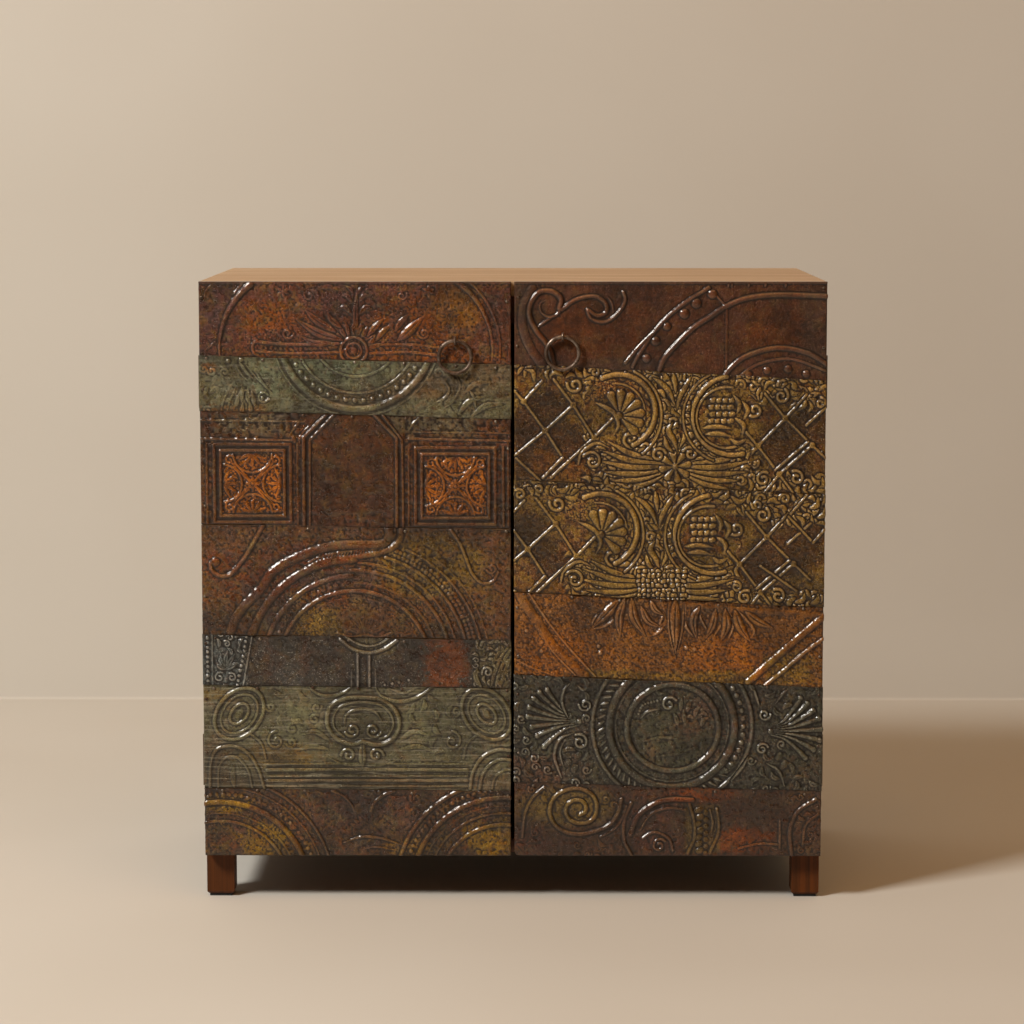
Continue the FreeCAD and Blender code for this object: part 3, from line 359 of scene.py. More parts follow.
class Sheet:
    """A strip of tin in the press. rise is how far each point stands above the flat, in mm. lap is
    how far a strip lies over its neighbours, and spread how far it stands out at a door's sides."""

    def __init__(self, side, number, lap=0.0, spread=0.0):
        self.name, self.side, self.number = f"{side}_tin_strip_{number}", side, number
        self.chance = np.random.default_rng(100 * number + (side == "right"))
        self.lap = lap
        start = DOORS[side][0] - spread
        self.start, self.end = start, start + WIDE + 2 * spread
        count = int((self.end - start - 2 * TURN) / STEP)
        flat = np.linspace(start + TURN, self.end - TURN, count + 1)
        turns = np.radians(np.linspace(0, 90, 5)[1:])
        back = np.array([FOLD / 3, 2 * FOLD / 3, FOLD])
        # x and depth of each column, from one fold over the front to the other
        bent_x = TURN - TURN * np.sin(turns)
        bent_depth = TURN - TURN * np.cos(turns)
        left_x = np.concatenate((np.zeros(3), bent_x[::-1]))
        left_depth = np.concatenate((TURN + back[::-1], bent_depth[::-1]))
        self.out_x = np.concatenate((start + left_x, flat, self.end - left_x[::-1]))
        self.depth = np.concatenate((left_depth, 0 * flat, left_depth[::-1]))
        self.lean = np.concatenate((-np.ones(3), -np.sin(turns)[::-1], 0 * flat, np.sin(turns), np.ones(3)))
        self.x = np.maximum.accumulate(self.out_x + np.arange(len(self.out_x)) * 1e-7)
        lines = [[(x, 0) for x in DOORS[side]], *SEAMS[side], FEET[side]]
        tops, ends = (np.interp(self.x, *zip(*line)) for line in lines[number - 1:number + 1])
        if number > 1:
            tops += self.wander(0)
        if number <= len(SEAMS[side]):
            ends += self.wander(1)
        rows = int((ends - tops).max() / STEP) + 2
        self.y = tops + (ends - tops) * np.linspace(0, 1, rows)[:, None]
        self.rise = np.zeros(self.y.shape, np.float32)
        self.cut = 0.0
        self.stains = [np.zeros(self.y.shape, np.float32) for _ in range(3)]
        self.pitch = (self.y[-1] - self.y[0]) / (rows - 1)

    def wander(self, seed):
        """How far a seam, cut by hand, strays from its line."""
        chance = np.random.default_rng(7 * self.number + seed + 50 * (self.side == "right"))
        count = int(WIDE / 45) + 4
        return np.interp(self.x, np.linspace(self.start - 20, self.end + 20, count),
                         chance.uniform(-1, 1, count))

    def cloud(self, size, seed):
        """Smooth noise from -1 to 1 over the sheet, with features about size mm across."""
        chance = np.random.default_rng(1000 * self.number + seed + 500 * (self.side == "right"))
        grid = chance.uniform(-1, 1, (int(1100 / size) + 4, int(1100 / size) + 4))
        u, v = self.x[None, :] / size + 0 * self.y, self.y / size
        i, j = u.astype(int), v.astype(int)
        u, v = u - i, v - j
        u, v = u * u * (3 - 2 * u), v * v * (3 - 2 * v)
        return ((grid[j, i] * (1 - u) + grid[j, i + 1] * u) * (1 - v)
                + (grid[j + 1, i] * (1 - u) + grid[j + 1, i + 1] * u) * v)

    def window(self, low_x, low_y, high_x, high_y):
        """Row and column ranges that hold a rectangle, or None if the sheet doesn't reach it."""
        c0, c1 = np.searchsorted(self.x, (low_x, high_x))
        if c1 <= c0:
            return None
        tops, pitch = self.y[0, c0:c1], self.pitch[c0:c1]
        r0 = max(0, int(((low_y - tops) / pitch).min()))
        r1 = min(len(self.y), int(((high_y - tops) / pitch).max()) + 2)
        return None if r1 <= r0 else (slice(r0, r1), slice(c0, c1))

    def near(self, path, wides):
        """Distance from a path over its half width there, and that width over the widest."""
        share = np.full(self.y.shape, 9.0, np.float32)
        size = np.zeros(self.y.shape, np.float32)
        most = max(wides)
        for (ax, ay), (bx, by), wa, wb in zip(path[:-1], path[1:], wides[:-1], wides[1:]):
            reach = max(wa, wb) / 2 + 0.1
            spot = self.window(min(ax, bx) - reach, min(ay, by) - reach,
                               max(ax, bx) + reach, max(ay, by) + reach)
            if spot is None:
                continue
            dx, dy = bx - ax, by - ay
            px, py = self.x[None, spot[1]] - ax, self.y[spot] - ay
            t = np.clip((px * dx + py * dy) / (dx * dx + dy * dy + 1e-9), 0, 1)
            wide = wa + t * (wb - wa)
            away = np.hypot(px - t * dx, py - t * dy) / (wide / 2 + 1e-6)
            closer = away < share[spot]
            share[spot] = np.where(closer, away, share[spot])
            size[spot] = np.where(closer, wide / most, size[spot])
        return share, size

    def widths(self, path, wide, taper):
        """The width at each point of a path whose ends taper."""
        t = np.linspace(0, 1, len(path))
        shapes = {"none": 1 + 0 * t, "both": np.sin(np.pi * np.clip(t, 0.04, 0.96)) ** 0.5,
                  "end": 1 - 0.75 * t, "start": 0.25 + 0.75 * t,
                  "leaf": np.sin(np.pi * np.clip(t, 0.03, 0.97) ** 0.8) ** 0.8}
        return wide * np.maximum(shapes[taper], 0.12)

    def ridge(self, path, wide, high, taper="none", round_off=0.75):
        """Raises a rounded ridge along a path. Where the sheet is cut, the ground beside it is pressed
        down first, so that it stands clear of what lies below."""
        wides = self.widths(path, wide, taper)
        if self.cut:
            around, _ = self.near(path, wides + 2 * self.cut)
            self.rise = np.where(around < 1, np.minimum(self.rise, -0.25), self.rise)
        share, size = self.near(path, wides)
        up = high * size ** 0.6 * np.clip(1 - share ** 2, 0, 1) ** round_off
        self.rise = np.maximum(self.rise, up, dtype=float)

    def score(self, path, wide, deep, taper="none"):
        """Presses a groove along a path."""
        share, size = self.near(path, self.widths(path, wide, taper))
        self.rise -= deep * size * np.clip(1 - share ** 2, 0, 1) ** 1.2

    def leaf(self, path, wide, high, vein=0.45):
        """A pointed leaf: a ridge that swells and tapers, with a vein pressed down its middle."""
        self.ridge(path, wide, high, "leaf", 0.6)
        if len(path) > 3:
            self.score(path[1:-1], min(2.6, wide * 0.4), high * vein, "both")

    def press(self, *rows):
        """Ridges and leaves in their order. A row holds a width, a height, the ridge's taper or "leaf",
        if it has one, and then the points of a smooth curve or a ready path."""
        for wide, high, *rest in rows:
            kind = rest.pop(0) if isinstance(rest[0], str) else "none"
            path = rest[0] if isinstance(rest[0], np.ndarray) else bow(*rest)
            if kind == "leaf":
                self.leaf(path, wide, high)
            else:
                self.ridge(path, wide, high, kind)

    def fan(self, x, y, inner, outer, start, end, count, wide, high):
        """Petals that spread from a point."""
        for turn in np.linspace(start, end, count):
            self.leaf(bow(*[off(x, y, reach, turn) for reach in (inner, (inner + outer) / 2, outer)]),
                      wide, high)

    def dome(self, x, y, radius, high, stretch=1.0, tilt=0.0, dish=0.0):
        """A round or oval boss, with a dished top if asked."""
        reach = radius * max(1, stretch) + 0.5
        spot = self.window(x - reach, y - reach, x + reach, y + reach)
        if spot is None:
            return
        lean = math.radians(tilt)
        px, py = self.x[None, spot[1]] - x, -(self.y[spot] - y)
        along = (px * math.cos(lean) + py * math.sin(lean)) / (radius * stretch)
        across = (-px * math.sin(lean) + py * math.cos(lean)) / radius
        away = along ** 2 + across ** 2
        up = high * np.clip(1 - away, 0, 1) ** 0.6 - dish * np.clip(1 - away * 2.6, 0, 1)
        self.rise[spot] = np.where(away < 1, np.maximum(self.rise[spot], up), self.rise[spot])

    def beads(self, path, radius, high, pitch):
        """A row of round beads along a path."""
        steps = np.hypot(*np.diff(path, axis=0).T)
        total = np.concatenate(([0], np.cumsum(steps)))
        count = max(1, round(total[-1] / pitch))
        for at in np.linspace(0, total[-1], count + 1):
            x, y = (np.interp(at, total, path[:, k]) for k in (0, 1))
            self.dome(x, y, radius * self.chance.uniform(0.9, 1.08), high)

    def pebbles(self, low_x, low_y, high_x, high_y, size, high, keep):
        """Small uneven grains over a rectangle, as on a sanded ground."""
        for x in np.arange(low_x, high_x, size):
            for y in np.arange(low_y, high_y, size):
                if self.chance.random() < keep:
                    at_x, at_y = (v + self.chance.uniform(-0.4, 0.4) * size for v in (x, y))
                    self.dome(at_x, at_y, size * self.chance.uniform(0.34, 0.6),
                              high * self.chance.uniform(0.5, 1))

    def dense(self, area, size, high):
        """Fills an area with broad leaves and curls, close together, each pressed over the last."""
        self.cut = 1.3
        drift = self.cloud(55, 31)
        for y in np.arange(self.y.min(), self.y.max(), size * 0.66):
            for x in np.arange(self.start, self.end, size * 0.66):
                at_x, at_y = (v + self.chance.uniform(-0.4, 0.4) * size for v in (x, y))
                lean, kind = self.chance.uniform(-30, 30), self.chance.random()
                side = self.chance.choice((-1, 1))
                spot = self.window(at_x - 1.5, at_y - 1.5, at_x + 1.5, at_y + 1.5)
                if spot is None or not area[spot].size or area[spot].mean() < 0.5:
                    continue
                turn = 330 * drift[spot].mean() + lean
                if kind < 0.2:
                    path = curl(at_x, at_y, size * 0.5, size * 0.16, turn, side * 420)
                    self.ridge(path, size * 0.3, high)
                    continue
                path = bent(at_x, at_y, size * self.chance.uniform(0.5, 0.85), turn, side * 60)
                self.ridge(path, size * self.chance.uniform(0.35, 0.6),
                           high * self.chance.uniform(0.7, 1.1), "leaf", 0.5)

    def foliage(self, low_x, low_y, high_x, high_y, size, high, keep, clear=0.35):
        """Fills free ground with small curls and leaves that follow a drifting direction."""
        drift = self.cloud(70, 11)
        for x in np.arange(low_x, high_x, size):
            for y in np.arange(low_y, high_y, size * 0.9):
                at_x, at_y = (v + self.chance.uniform(-0.35, 0.35) * size for v in (x, y))
                lean, kind = self.chance.uniform(-40, 40), self.chance.random()
                side = self.chance.choice((-1, 1))
                half = size * 0.3
                spot = self.window(at_x - half, at_y - half, at_x + half, at_y + half)
                if spot is None or not self.rise[spot].size or self.rise[spot].max() > clear or kind > keep:
                    continue
                turn = 400 * drift[spot].mean() + lean
                if kind < 0.3 * keep:
                    path = curl(at_x, at_y, size * 0.45, size * 0.12, turn, side * 400)
                    self.ridge(path, size * 0.26, high)
                else:
                    self.leaf(bent(at_x, at_y, size * 0.62, turn, side * 50), size * 0.52, high)

    def trellis(self, *lines):
        """Crossing bars."""
        for line in lines:
            self.ridge(bow(*line), 4.6, 1.8, round_off=1.3)

    def inside(self, low_x, low_y, high_x, high_y, soft):
        """1 inside a rectangle and 0 outside, with a soft edge."""
        x, y = self.x[None, :], self.y
        away = np.minimum(np.minimum(x - low_x, high_x - x), np.minimum(y - low_y, high_y - y))
        return np.clip(away / (1.7 * soft) + 0.5, 0, 1)

    def round_area(self, x, y, wide, high, soft=0.9):
        """The same for an oval round a point, given by its half width and half height."""
        away = np.hypot((self.x[None, :] - x) / wide, (self.y - y) / high)
        return np.clip((1 - away) / soft + 0.5, 0, 1)

    def area(self, parts):
        """Areas put together. Each is ready made, or four numbers for round_area, or five for inside."""
        return sum(part if isinstance(part, np.ndarray) else
                   self.round_area(*part) if len(part) == 4 else self.inside(*part) for part in parts)

    def rough(self, amount, *parts):
        """Crumples the sheet over an area."""
        lumps = 0.6 * self.cloud(9, 21) + 0.5 * self.cloud(4.5, 22)
        lumps = lumps + 0.5 * (0.5 - np.abs(self.cloud(12, 23)))
        self.rise += amount * self.area(parts) * lumps

    def stain(self, which, *parts):
        """Marks an area for one of the three stains of the sheet's paint."""
        self.stains[which] = np.maximum(self.stains[which], self.area(parts))

    def finish(self, material, grain=1.0):
        """Dents the sheet, folds it round the door, gives it its thickness and hangs it."""
        crumpled = 0.5 - np.abs(self.cloud(17, 7)) + 0.5 * (0.5 - np.abs(self.cloud(8, 8)))
        fine = grain * (0.3 * self.cloud(5.5, 1) + 0.34 * self.cloud(2.8, 2) + 0.34 * crumpled)
        dents = 0.45 * (self.cloud(70, 3) + 0.5 * self.cloud(31, 4) + 0.35 * self.cloud(13, 5))
        knocks = np.zeros(self.y.shape, np.float32)
        for _ in range(60):
            x = self.chance.uniform(self.start, self.end)
            y = self.chance.uniform(self.y.min(), self.y.max())
            away = np.hypot(self.x[None, :] - x, self.y - y) / self.chance.uniform(4, 14)
            knocks -= self.chance.uniform(0.05, 0.5) * np.exp(-away ** 2)
        from_edge = np.minimum(self.y - self.y[0], self.y[-1] - self.y)
        lip = self.lap + 0.35 * self.lap * np.exp(-from_edge / 3) * (1 + self.cloud(40, 6))
        pressed = self.rise + fine * np.clip(1.1 - 0.4 * self.rise, 0.35, 1)
        crest = pressed - softened(pressed, 3)
        broad = pressed - softened(pressed, 7)
        up = np.clip(pressed + dents * 0.6 + knocks + lip + 0.3, -0.2, 4.3)
        up *= np.where(self.depth > TURN * 0.5, 0.35, 1)[None, :]
        x = left_edge + self.out_x[None, :] + self.lean[None, :] * up * 0.6
        front = np.cos(np.arcsin(np.clip(self.lean, -1, 1)))[None, :]
        depth = tin_plane + self.depth[None, :] - front * up
        rows, columns = self.y.shape
        flush = np.clip(self.y, 0.2, None)
        outer = np.stack((x, depth, top_edge - flush), -1).reshape(-1, 3)
        inner_x = left_edge + self.out_x - self.lean * SHEET
        inner_depth = tin_plane + self.depth + front[0] * SHEET
        inner = np.concatenate([np.column_stack((inner_x, inner_depth, top_edge - flush[row]))
                                for row in (0, -1)])
        at = np.arange(rows * columns).reshape(rows, columns)
        quads = np.stack((at[:-1, :-1], at[1:, :-1], at[1:, 1:], at[:-1, 1:]), -1).reshape(-1, 4)
        first, last = rows * columns + np.arange(columns), rows * columns + columns + np.arange(columns)
        behind = np.stack((first[:-1], first[1:], last[1:], last[:-1]), -1)
        upper_wall = np.stack((at[0, :-1], at[0, 1:], first[1:], first[:-1]), -1)
        lower_wall = np.stack((at[-1, 1:], at[-1, :-1], last[:-1], last[1:]), -1)
        faces = np.concatenate((quads, behind, upper_wall, lower_wall))
        ends = [[*at[::-1, 0], first[0], last[0]], [*at[:, -1], last[-1], first[-1]]]
        mesh = bpy.data.meshes.new(self.name)
        points = np.concatenate((outer, inner)) * MM
        mesh.vertices.add(len(points))
        mesh.vertices.foreach_set("co", points.astype(np.float32).ravel())
        loops = np.concatenate((faces.ravel(), *[np.array(e) for e in ends]))
        sizes = np.concatenate((np.full(len(faces), 4), [len(e) for e in ends]))
        mesh.loops.add(len(loops))
        mesh.loops.foreach_set("vertex_index", loops.astype(np.int32))
        mesh.polygons.add(len(sizes))
        starts = np.concatenate(([0], np.cumsum(sizes)[:-1]))
        mesh.polygons.foreach_set("loop_start", starts.astype(np.int32))
        mesh.polygons.foreach_set("use_smooth", np.arange(len(sizes)) < len(quads))
        mesh.update(calc_edges=True)
        spare = np.zeros(len(inner), np.float32)
        marks = {"crest": crest, "broad": broad, "relief": self.rise, "edge": np.exp(-from_edge / 4)}
        marks.update({f"stain_{i}": stain for i, stain in enumerate(self.stains)})
        for mark, field in marks.items():
            values = np.concatenate((field.ravel().astype(np.float32), spare))
            mesh.attributes.new(mark, "FLOAT", "POINT").data.foreach_set("value", values)
        ready(f"{self.name}_pressed", mesh, material, f"{self.side}_door", slot_of[self.name], self.name)


# Tints that drift over every sheet: colour, how large its patches are in mm, and strength.
TINTS = (("#5a5538", 29, 0.5), ("#6b3c1f", 23, 0.5), ("#7a6030", 16, 0.4), ("#40383a", 34, 0.5))


def old_tin(name, base, other, crease, worn, stains, raised=None, rough=0.28, grime_and_shade=0.85, wear_and_highlight=0.42,
            other_share=0.5, tinted=1.0, blotch=0.4, brushed=0.0):
    """Old painted tin under thin lacquer: two tones in drifting patches, tinted here and there, stains
    with ragged edges, dark soiling and painted shade in every crease and along the strip's edges, broad
    raised bands painted lighter and sunk ones darker, and ridges rubbed through that catch the light.
    The worn tone is that of the rubbed ridges, and also of the painted highlights and glints on them."""
    material, tree, shader, where = blank(name)

    def mark(which):
        return add(tree, "ShaderNodeAttribute", attribute_name=which).outputs["Fac"]

    def plus(one, other):
        return maths(tree, one, other, "ADD")

    def swing(value, amount):
        return maths(tree, plus(value, -0.5), amount)

    patches = noise(tree, where, 38, 8, 0.66, 0.8)
    mottle = noise(tree, where, 12, 7, 0.7, 0.4)
    grit = noise(tree, where, 2.6, 5, 0.68)
    clouds = noise(tree, where, 85, 4, 0.55, 0.5, 3.1)
    speck = noise(tree, where, 1.3, 3, 0.6)
    ragged = plus(swing(patches, 2.4), swing(mottle, 2.2))
    middle = 0.25 - 0.5 * other_share
    share = ramp(tree, plus(ragged, swing(grit, 0.9)), middle - 0.22, middle + 0.22)
    colour = mixed(tree, share, base, other)
    for which, (hex_colour, strength) in enumerate(stains):
        torn = plus(mark(f"stain_{which}"), plus(maths(tree, ragged, -1.1 + 0.9 * which), swing(grit, 1.3)))
        colour = mixed(tree, maths(tree, ramp(tree, torn, 0.3, 0.95), strength), colour, hex_colour)
    for which, (hex_colour, size_mm, strength) in enumerate(TINTS):
        drift = plus(noise(tree, where, size_mm, 6, 0.62, 0.9, 7.3 * (which + 1)), swing(grit, 0.25))
        colour = mixed(tree, ramp(tree, drift, 0.5, 0.66, 0.0, strength * tinted), colour, hex_colour)
    if raised:
        lifted = plus(ramp(tree, mark("relief"), 0.2, 1.2), plus(swing(mottle, 1.6), swing(grit, 1.2)))
        colour = mixed(tree, ramp(tree, lifted, 0.3, 0.8, 0.0, raised[1]), colour, raised[0])
    colour = mixed(tree, ramp(tree, plus(clouds, swing(mottle, 0.5)), 0.48, 0.7, 0.0, 0.45), colour, crease)
    for field, low, high, strength in ((mottle, 0.47, 0.62, blotch), (grit, 0.52, 0.72, 0.4),
                                       (speck, 0.56, 0.7, 0.3)):
        colour = mixed(tree, ramp(tree, field, low, high, 0.0, strength), colour, crease)
    # Painted glints: fine specks lightened toward the worn tone.
    pale = maths(tree, ramp(tree, grit, 0.46, 0.3), ramp(tree, speck, 0.5, 0.36))
    colour = mixed(tree, maths(tree, pale, 0.55 * wear_and_highlight), colour, worn)
    # Painted light and shade: broad raised bands lighter and sunk ones darker. The clouds, mottle and
    # patches then vary the tone at random.
    shade = ramp(tree, mark("broad"), -0.8, 0.9, 0.7, 1.38)
    for field, dark, light in ((clouds, 0.58, 1.5), (mottle, 0.6, 1.54), (patches, 0.72, 1.32)):
        shade = maths(tree, shade, ramp(tree, field, 0.36, 0.64, dark, light))
    colour = add(tree, "ShaderNodeHueSaturation",
                 {"Color": colour, "Value": shade, "Saturation": 1.14}).outputs[0]
    # Dark soiling and painted shade: darker in the hollows beside ridges, in sunk bands and along the
    # strip's top and bottom edges.
    hollow = plus(ramp(tree, mark("crest"), 0.0, -0.26), ramp(tree, mark("broad"), 0.0, -0.9, 0.0, 0.65))
    hollow = plus(hollow, maths(tree, mark("edge"), 0.6))
    dirt_and_shade = maths(tree, hollow, ramp(tree, mottle, 0.3, 0.6, 0.7, 1.0))
    colour = mixed(tree, ramp(tree, dirt_and_shade, 0.0, 1.0, 0.0, grime_and_shade), colour, crease)
    if brushed:
        hairs = noise(tree, where, (20, 9, 1.3), 2)
        strokes = plus(noise(tree, where, (62, 20, 3.4), 3, 0.6), swing(hairs, 0.4))
        colour = mixed(tree, ramp(tree, strokes, 0.5, 0.68, 0.0, brushed), colour, worn)
        colour = mixed(tree, ramp(tree, strokes, 0.46, 0.3, 0.0, brushed), colour, crease)
    # Ridges rubbed through, with painted highlights on them: crests lightened toward the worn tone.
    bare_and_highlight = maths(tree, ramp(tree, mark("crest"), 0.2, 0.9), ramp(tree, grit, 0.36, 0.6, 0.2, 1.0))
    colour = mixed(tree, maths(tree, bare_and_highlight, wear_and_highlight), colour, worn)
    tree.links.new(colour, shader.inputs["Base Color"])
    gloss = plus(ramp(tree, mottle, 0.3, 0.7, rough - 0.08, rough + 0.12), maths(tree, bare_and_highlight, -0.13))
    tree.links.new(plus(gloss, maths(tree, hollow, 0.2)), shader.inputs["Roughness"])
    shader.inputs["Metallic"].default_value = 0.35
    shader.inputs["Coat Weight"].default_value = 0.8
    shader.inputs["Specular IOR Level"].default_value = 0.4
    shader.inputs["Coat Roughness"].default_value = 0.17
    height = plus(maths(tree, mottle, 0.9), plus(maths(tree, grit, 0.9), maths(tree, speck, 0.45)))
    height = maths(tree, height, ramp(tree, mark("crest"), 0.15, 0.9, 1.0, 0.4))
    tree.links.new(add(tree, "ShaderNodeBump", {"Height": height, "Strength": 1.0,
                                                "Distance": 0.0012}).outputs[0], shader.inputs["Normal"])
    return material


# Left door, first strip: maroon sheet gone rusty, with half of a large rosette: a sunburst over a
# ring, leaves and a bar, between two big arcs. The ground between them is pebbled.
tin = Sheet("left", 1)
tin.pebbles(72, 30, 372, 104, 4.6, 0.7, 0.8)
tin.pebbles(372, 60, 432, 118, 5.0, 0.6, 0.5)
tin.press((10.5, 3.3, "start", arc(147, 97, 118, 186, 128)), (4, 1.6, (52, 16), (60, 7), (66, -2)),
          (3.4, 1.2, (56, 20), (68, 9), (80, 2)), (3, 1.0, "both", (6, 30), (12, 12), (24, 0)),
          (3.2, 1.2, "both", (8, 98), (16, 93), (24, 84)), (9, 2.3, "start", arc(303, 97, 118, -8, 62)),
          (3.6, 1.1, arc(303, 97, 129, -8, 52)), (4.2, 2.3, arc(222, 99, 19, 0, 360)),
          (3.0, 1.5, arc(222, 99, 11, 0, 360)))
tin.dome(222, 99, 5, 1.8)
tin.fan(222, 99, 23, 41, 12, 168, 11, 7.5, 1.9)
tin.leaf(bow((226, 74), (225, 45), (227, 12)), 9, 2.4)
for bend in (-1, 1):
    tin.press((7.5, 2.0, "leaf", (225 + bend * 6, 46), (225 + bend * 16, 36), (225 + bend * 24, 40)),
              (6.5, 1.8, "leaf", (225 + bend * 5, 30), (225 + bend * 12, 20), (225 + bend * 20, 20)),
              (5, 1.6, "leaf", (225 + bend * 3, 18), (225 + bend * 8, 10), (225 + bend * 15, 6)),
              (3.2, 1.7, curl(225 + bend * 98, 74, 9, 2.5, 90 + 90 * bend, bend * 420)))
    tin.fan(225 + bend * 104, 14, 2, 9, 20, 340, 6, 4.6, 1.5)
    tin.dome(225 + bend * 104, 14, 2.6, 1.8)
    tin.ridge(curl(225 + bend * 66, 20, 8, 2.2, 90 - 60 * bend, -bend * 330), 2.8, 1.3)
tin.cut = 1.3
tin.press((13, 2.7, "leaf", (206, 84), (172, 74), (140, 54)),
          (12, 2.4, "leaf", (196, 72), (172, 58), (152, 40)),
          (10, 2.2, "leaf", (192, 88), (166, 88), (146, 78)),
          (9, 2.2, "leaf", (204, 66), (190, 54), (184, 42)),
          (9, 2.9, "leaf", (242, 78), (252, 66), (266, 52)),
          (8, 2.5, "leaf", (254, 84), (264, 72), (277, 60)),
          (14, 2.7, "leaf", (286, 84), (302, 70), (322, 50)),
          (9, 2.2, "leaf", (282, 70), (290, 58), (302, 46)))
tin.cut = 0.0
tin.press((4.6, 1.9, (84, 84), (77, 90), (78, 101), (84, 105)), (5, 1.8, (80, 86), (130, 90), (200, 89)),
          (4, 1.5, (82, 100), (140, 103), (206, 101)), (4.6, 1.6, (246, 103), (300, 101), (352, 107)),
          (3.6, 1.3, (244, 91), (300, 90), (350, 95)))
tin.beads(bow((96, 95.5), (140, 96.5), (196, 95.5)), 2.0, 1.1, 7)
tin.foliage(96, 34, 352, 84, 15, 1.3, 0.7)
tin.foliage(100, 4, 200, 30, 17, 1.0, 0.5)
tin.rough(0.5, (0, 0, 448, 122, 10))
tin.ridge(bow((0, 1.6), (448, 1.6)), 3.4, 0.9)
tin.stain(0, (90, 50, 60, 24), (320, 56, 90, 40), (60, 96, 440, 122, 14))
tin.stain(1, (20, 40, 50, 60), (200, 20, 60, 30))
tin.stain(2, (370, 40, 40, 40))
maroon_tin = old_tin("maroon painted tin, rusting", "#673f2f", "#503128", "#23140c", "#9c7c69",
                     [("#81491e", 0.6), ("#3c2a2c", 0.6), ("#7c5a26", 0.5)])
tin.finish(maroon_tin)

# Left door, second strip: grey-green sheet with the lower half of a great ring, beaded inside its
# rim, and acanthus at the left. Rust shows through in spots.
tin = Sheet("left", 2, lap=0.7, spread=0.7)
tin.ridge(arc(226, 72, 111, 184, 362), 10, 2.6)
tin.beads(arc(226, 72, 99, 186, 358), 3.4, 2.3, 13)
tin.press((3.2, 1.3, arc(226, 72, 88, 184, 358)), (4, 1.2, arc(226, 72, 64, 190, 352)),
          (2.6, 0.9, arc(226, 72, 121, 190, 350)), (5, 2.2, "both", (58, 115), (66, 128), (77, 139)),
          (3, 1.3, "both", (52, 118), (60, 132), (72, 145)),
          (3.6, 1.5, "both", (81, 128), (90, 144), (103, 159)),
          (2.4, 1.0, "both", (66, 118), (84, 140), (98, 152)))
tin.dome(42, 114, 3.4, 2.2)
tin.dome(60, 112, 3.0, 2.0)
for x, y, lean in ((52, 172, 60), (60, 164, 78), (70, 166, 95), (79, 170, 112), (60, 186, 80),
                   (74, 184, 100)):
    a = math.radians(lean)
    tin.leaf(bow((x, y + 8), (x + 5 * math.cos(a), y - 2), (x + 12 * math.cos(a), y - 13)), 7, 2.0)
tin.press((3.4, 2.2, "both", (55, 167), (60, 159), (67, 156)),
          (3.0, 1.9, "both", (66, 168), (74, 164), (76, 157)), (3, 1.6, arc(92, 166, 7, 30, 330)))
tin.dome(90, 167, 2.4, 1.8)
tin.dome(99, 169, 2.4, 1.8)
for shift in (0, 9, 18):
    tin.ridge(bow((30 + shift, 190), (34 + shift, 172), (44 + shift, 150)), 3, 1.0, "both")
tin.press((4, 1.8, "both", (353, 143), (359, 156), (350, 169), (340, 172)),
          (3, 1.3, "both", (368, 132), (374, 150), (364, 172), (350, 182)),
          (5, 2.0, "both", (389, 157), (395, 168), (397, 180)),
          (9, 1.8, "leaf", (372, 190), (388, 172), (412, 164)),
          (9, 1.6, "leaf", (392, 192), (412, 178), (436, 176)),
          (8, 1.5, "leaf", (380, 160), (398, 146), (420, 144)))
tin.foliage(6, 128, 50, 190, 15, 1.0, 0.5)
tin.foliage(345, 128, 444, 196, 17, 0.9, 0.45)
tin.rough(0.6, (0, 104, 448, 200, 10))
tin.stain(0, tin.inside(0, 178, 90, 197, 12) * 0.9, (14, 124, 14, 10))
tin.stain(1, (300, 150, 160, 22), (420, 120, 40, 20))
tin.stain(2, (120, 130, 60, 40), (226, 130, 60, 30))
green_tin = old_tin("grey-green painted tin", "#696549", "#525344", "#2a2417", "#9a9480",
                    [("#7a4720", 0.7), ("#57422e", 0.65), ("#5c6650", 0.6)], other_share=0.6,
                    tinted=0.55, blotch=0.3, brushed=0.18)
tin.finish(green_tin, 0.7)

# Left door, third strip: brown ceiling coffers. Two square coffers with carved orange fields stand
# either side of an eight-sided one, whose own field is worn smooth.
tin = Sheet("left", 3)


def coffer(sheet, low_x, low_y, high_x, high_y):
    """Nested frames round a carved field: four arched palmettes that meet at a flower."""
    for inset, wide, high in ((0, 5, 1.6), (9, 5, 2.3)):
        corners = [(low_x + inset, low_y + inset), (high_x - inset, low_y + inset),
                   (high_x - inset, high_y - inset), (low_x + inset, high_y - inset)]
        for one, other in zip(corners, corners[1:] + corners[:1]):
            sheet.ridge(bow(one, other), wide, high)
    x, y = (low_x + high_x) / 2, (low_y + high_y) / 2
    wide, tall = (high_x - low_x) / 2 - 12.5, (high_y - low_y) / 2 - 12.5
    sheet.pebbles(x - wide, y - tall, x + wide, y + tall, 4.2, 1.0, 0.9)
    for turn, reach in ((0, wide), (90, tall), (180, wide), (270, tall)):
        foot_x, foot_y = off(x, y, reach, turn)
        sheet.ridge(arc(foot_x, foot_y, reach * 0.64, turn + 94, turn + 266), 3.4, 2.2)
        sheet.fan(foot_x, foot_y, 2, reach * 0.5, turn + 115, turn + 245, 5, 5.6, 2.0)
    for turn in (45, 135, 225, 315):
        right, up = math.cos(math.radians(turn)), math.sin(math.radians(turn))
        corner_x = x + wide * math.copysign(0.82, right)
        corner_y = y - tall * math.copysign(0.82, up)
        sheet.leaf(bow(off(x, y, 5, turn), ((x + corner_x) / 2, (y + corner_y) / 2), (corner_x, corner_y)),
                   7, 2.0)
        sheet.ridge(curl(*off(corner_x, corner_y, -3, turn), 7.5, 2, turn - 100, 380), 3, 1.8)
    sheet.fan(x, y, 2, 11, 0, 315, 8, 5.4, 2.0)
    sheet.dome(x, y, 3.4, 2.4)
    sheet.foliage(x - wide, y - tall, x + wide, y + tall, 8, 1.3, 0.9, 0.5)


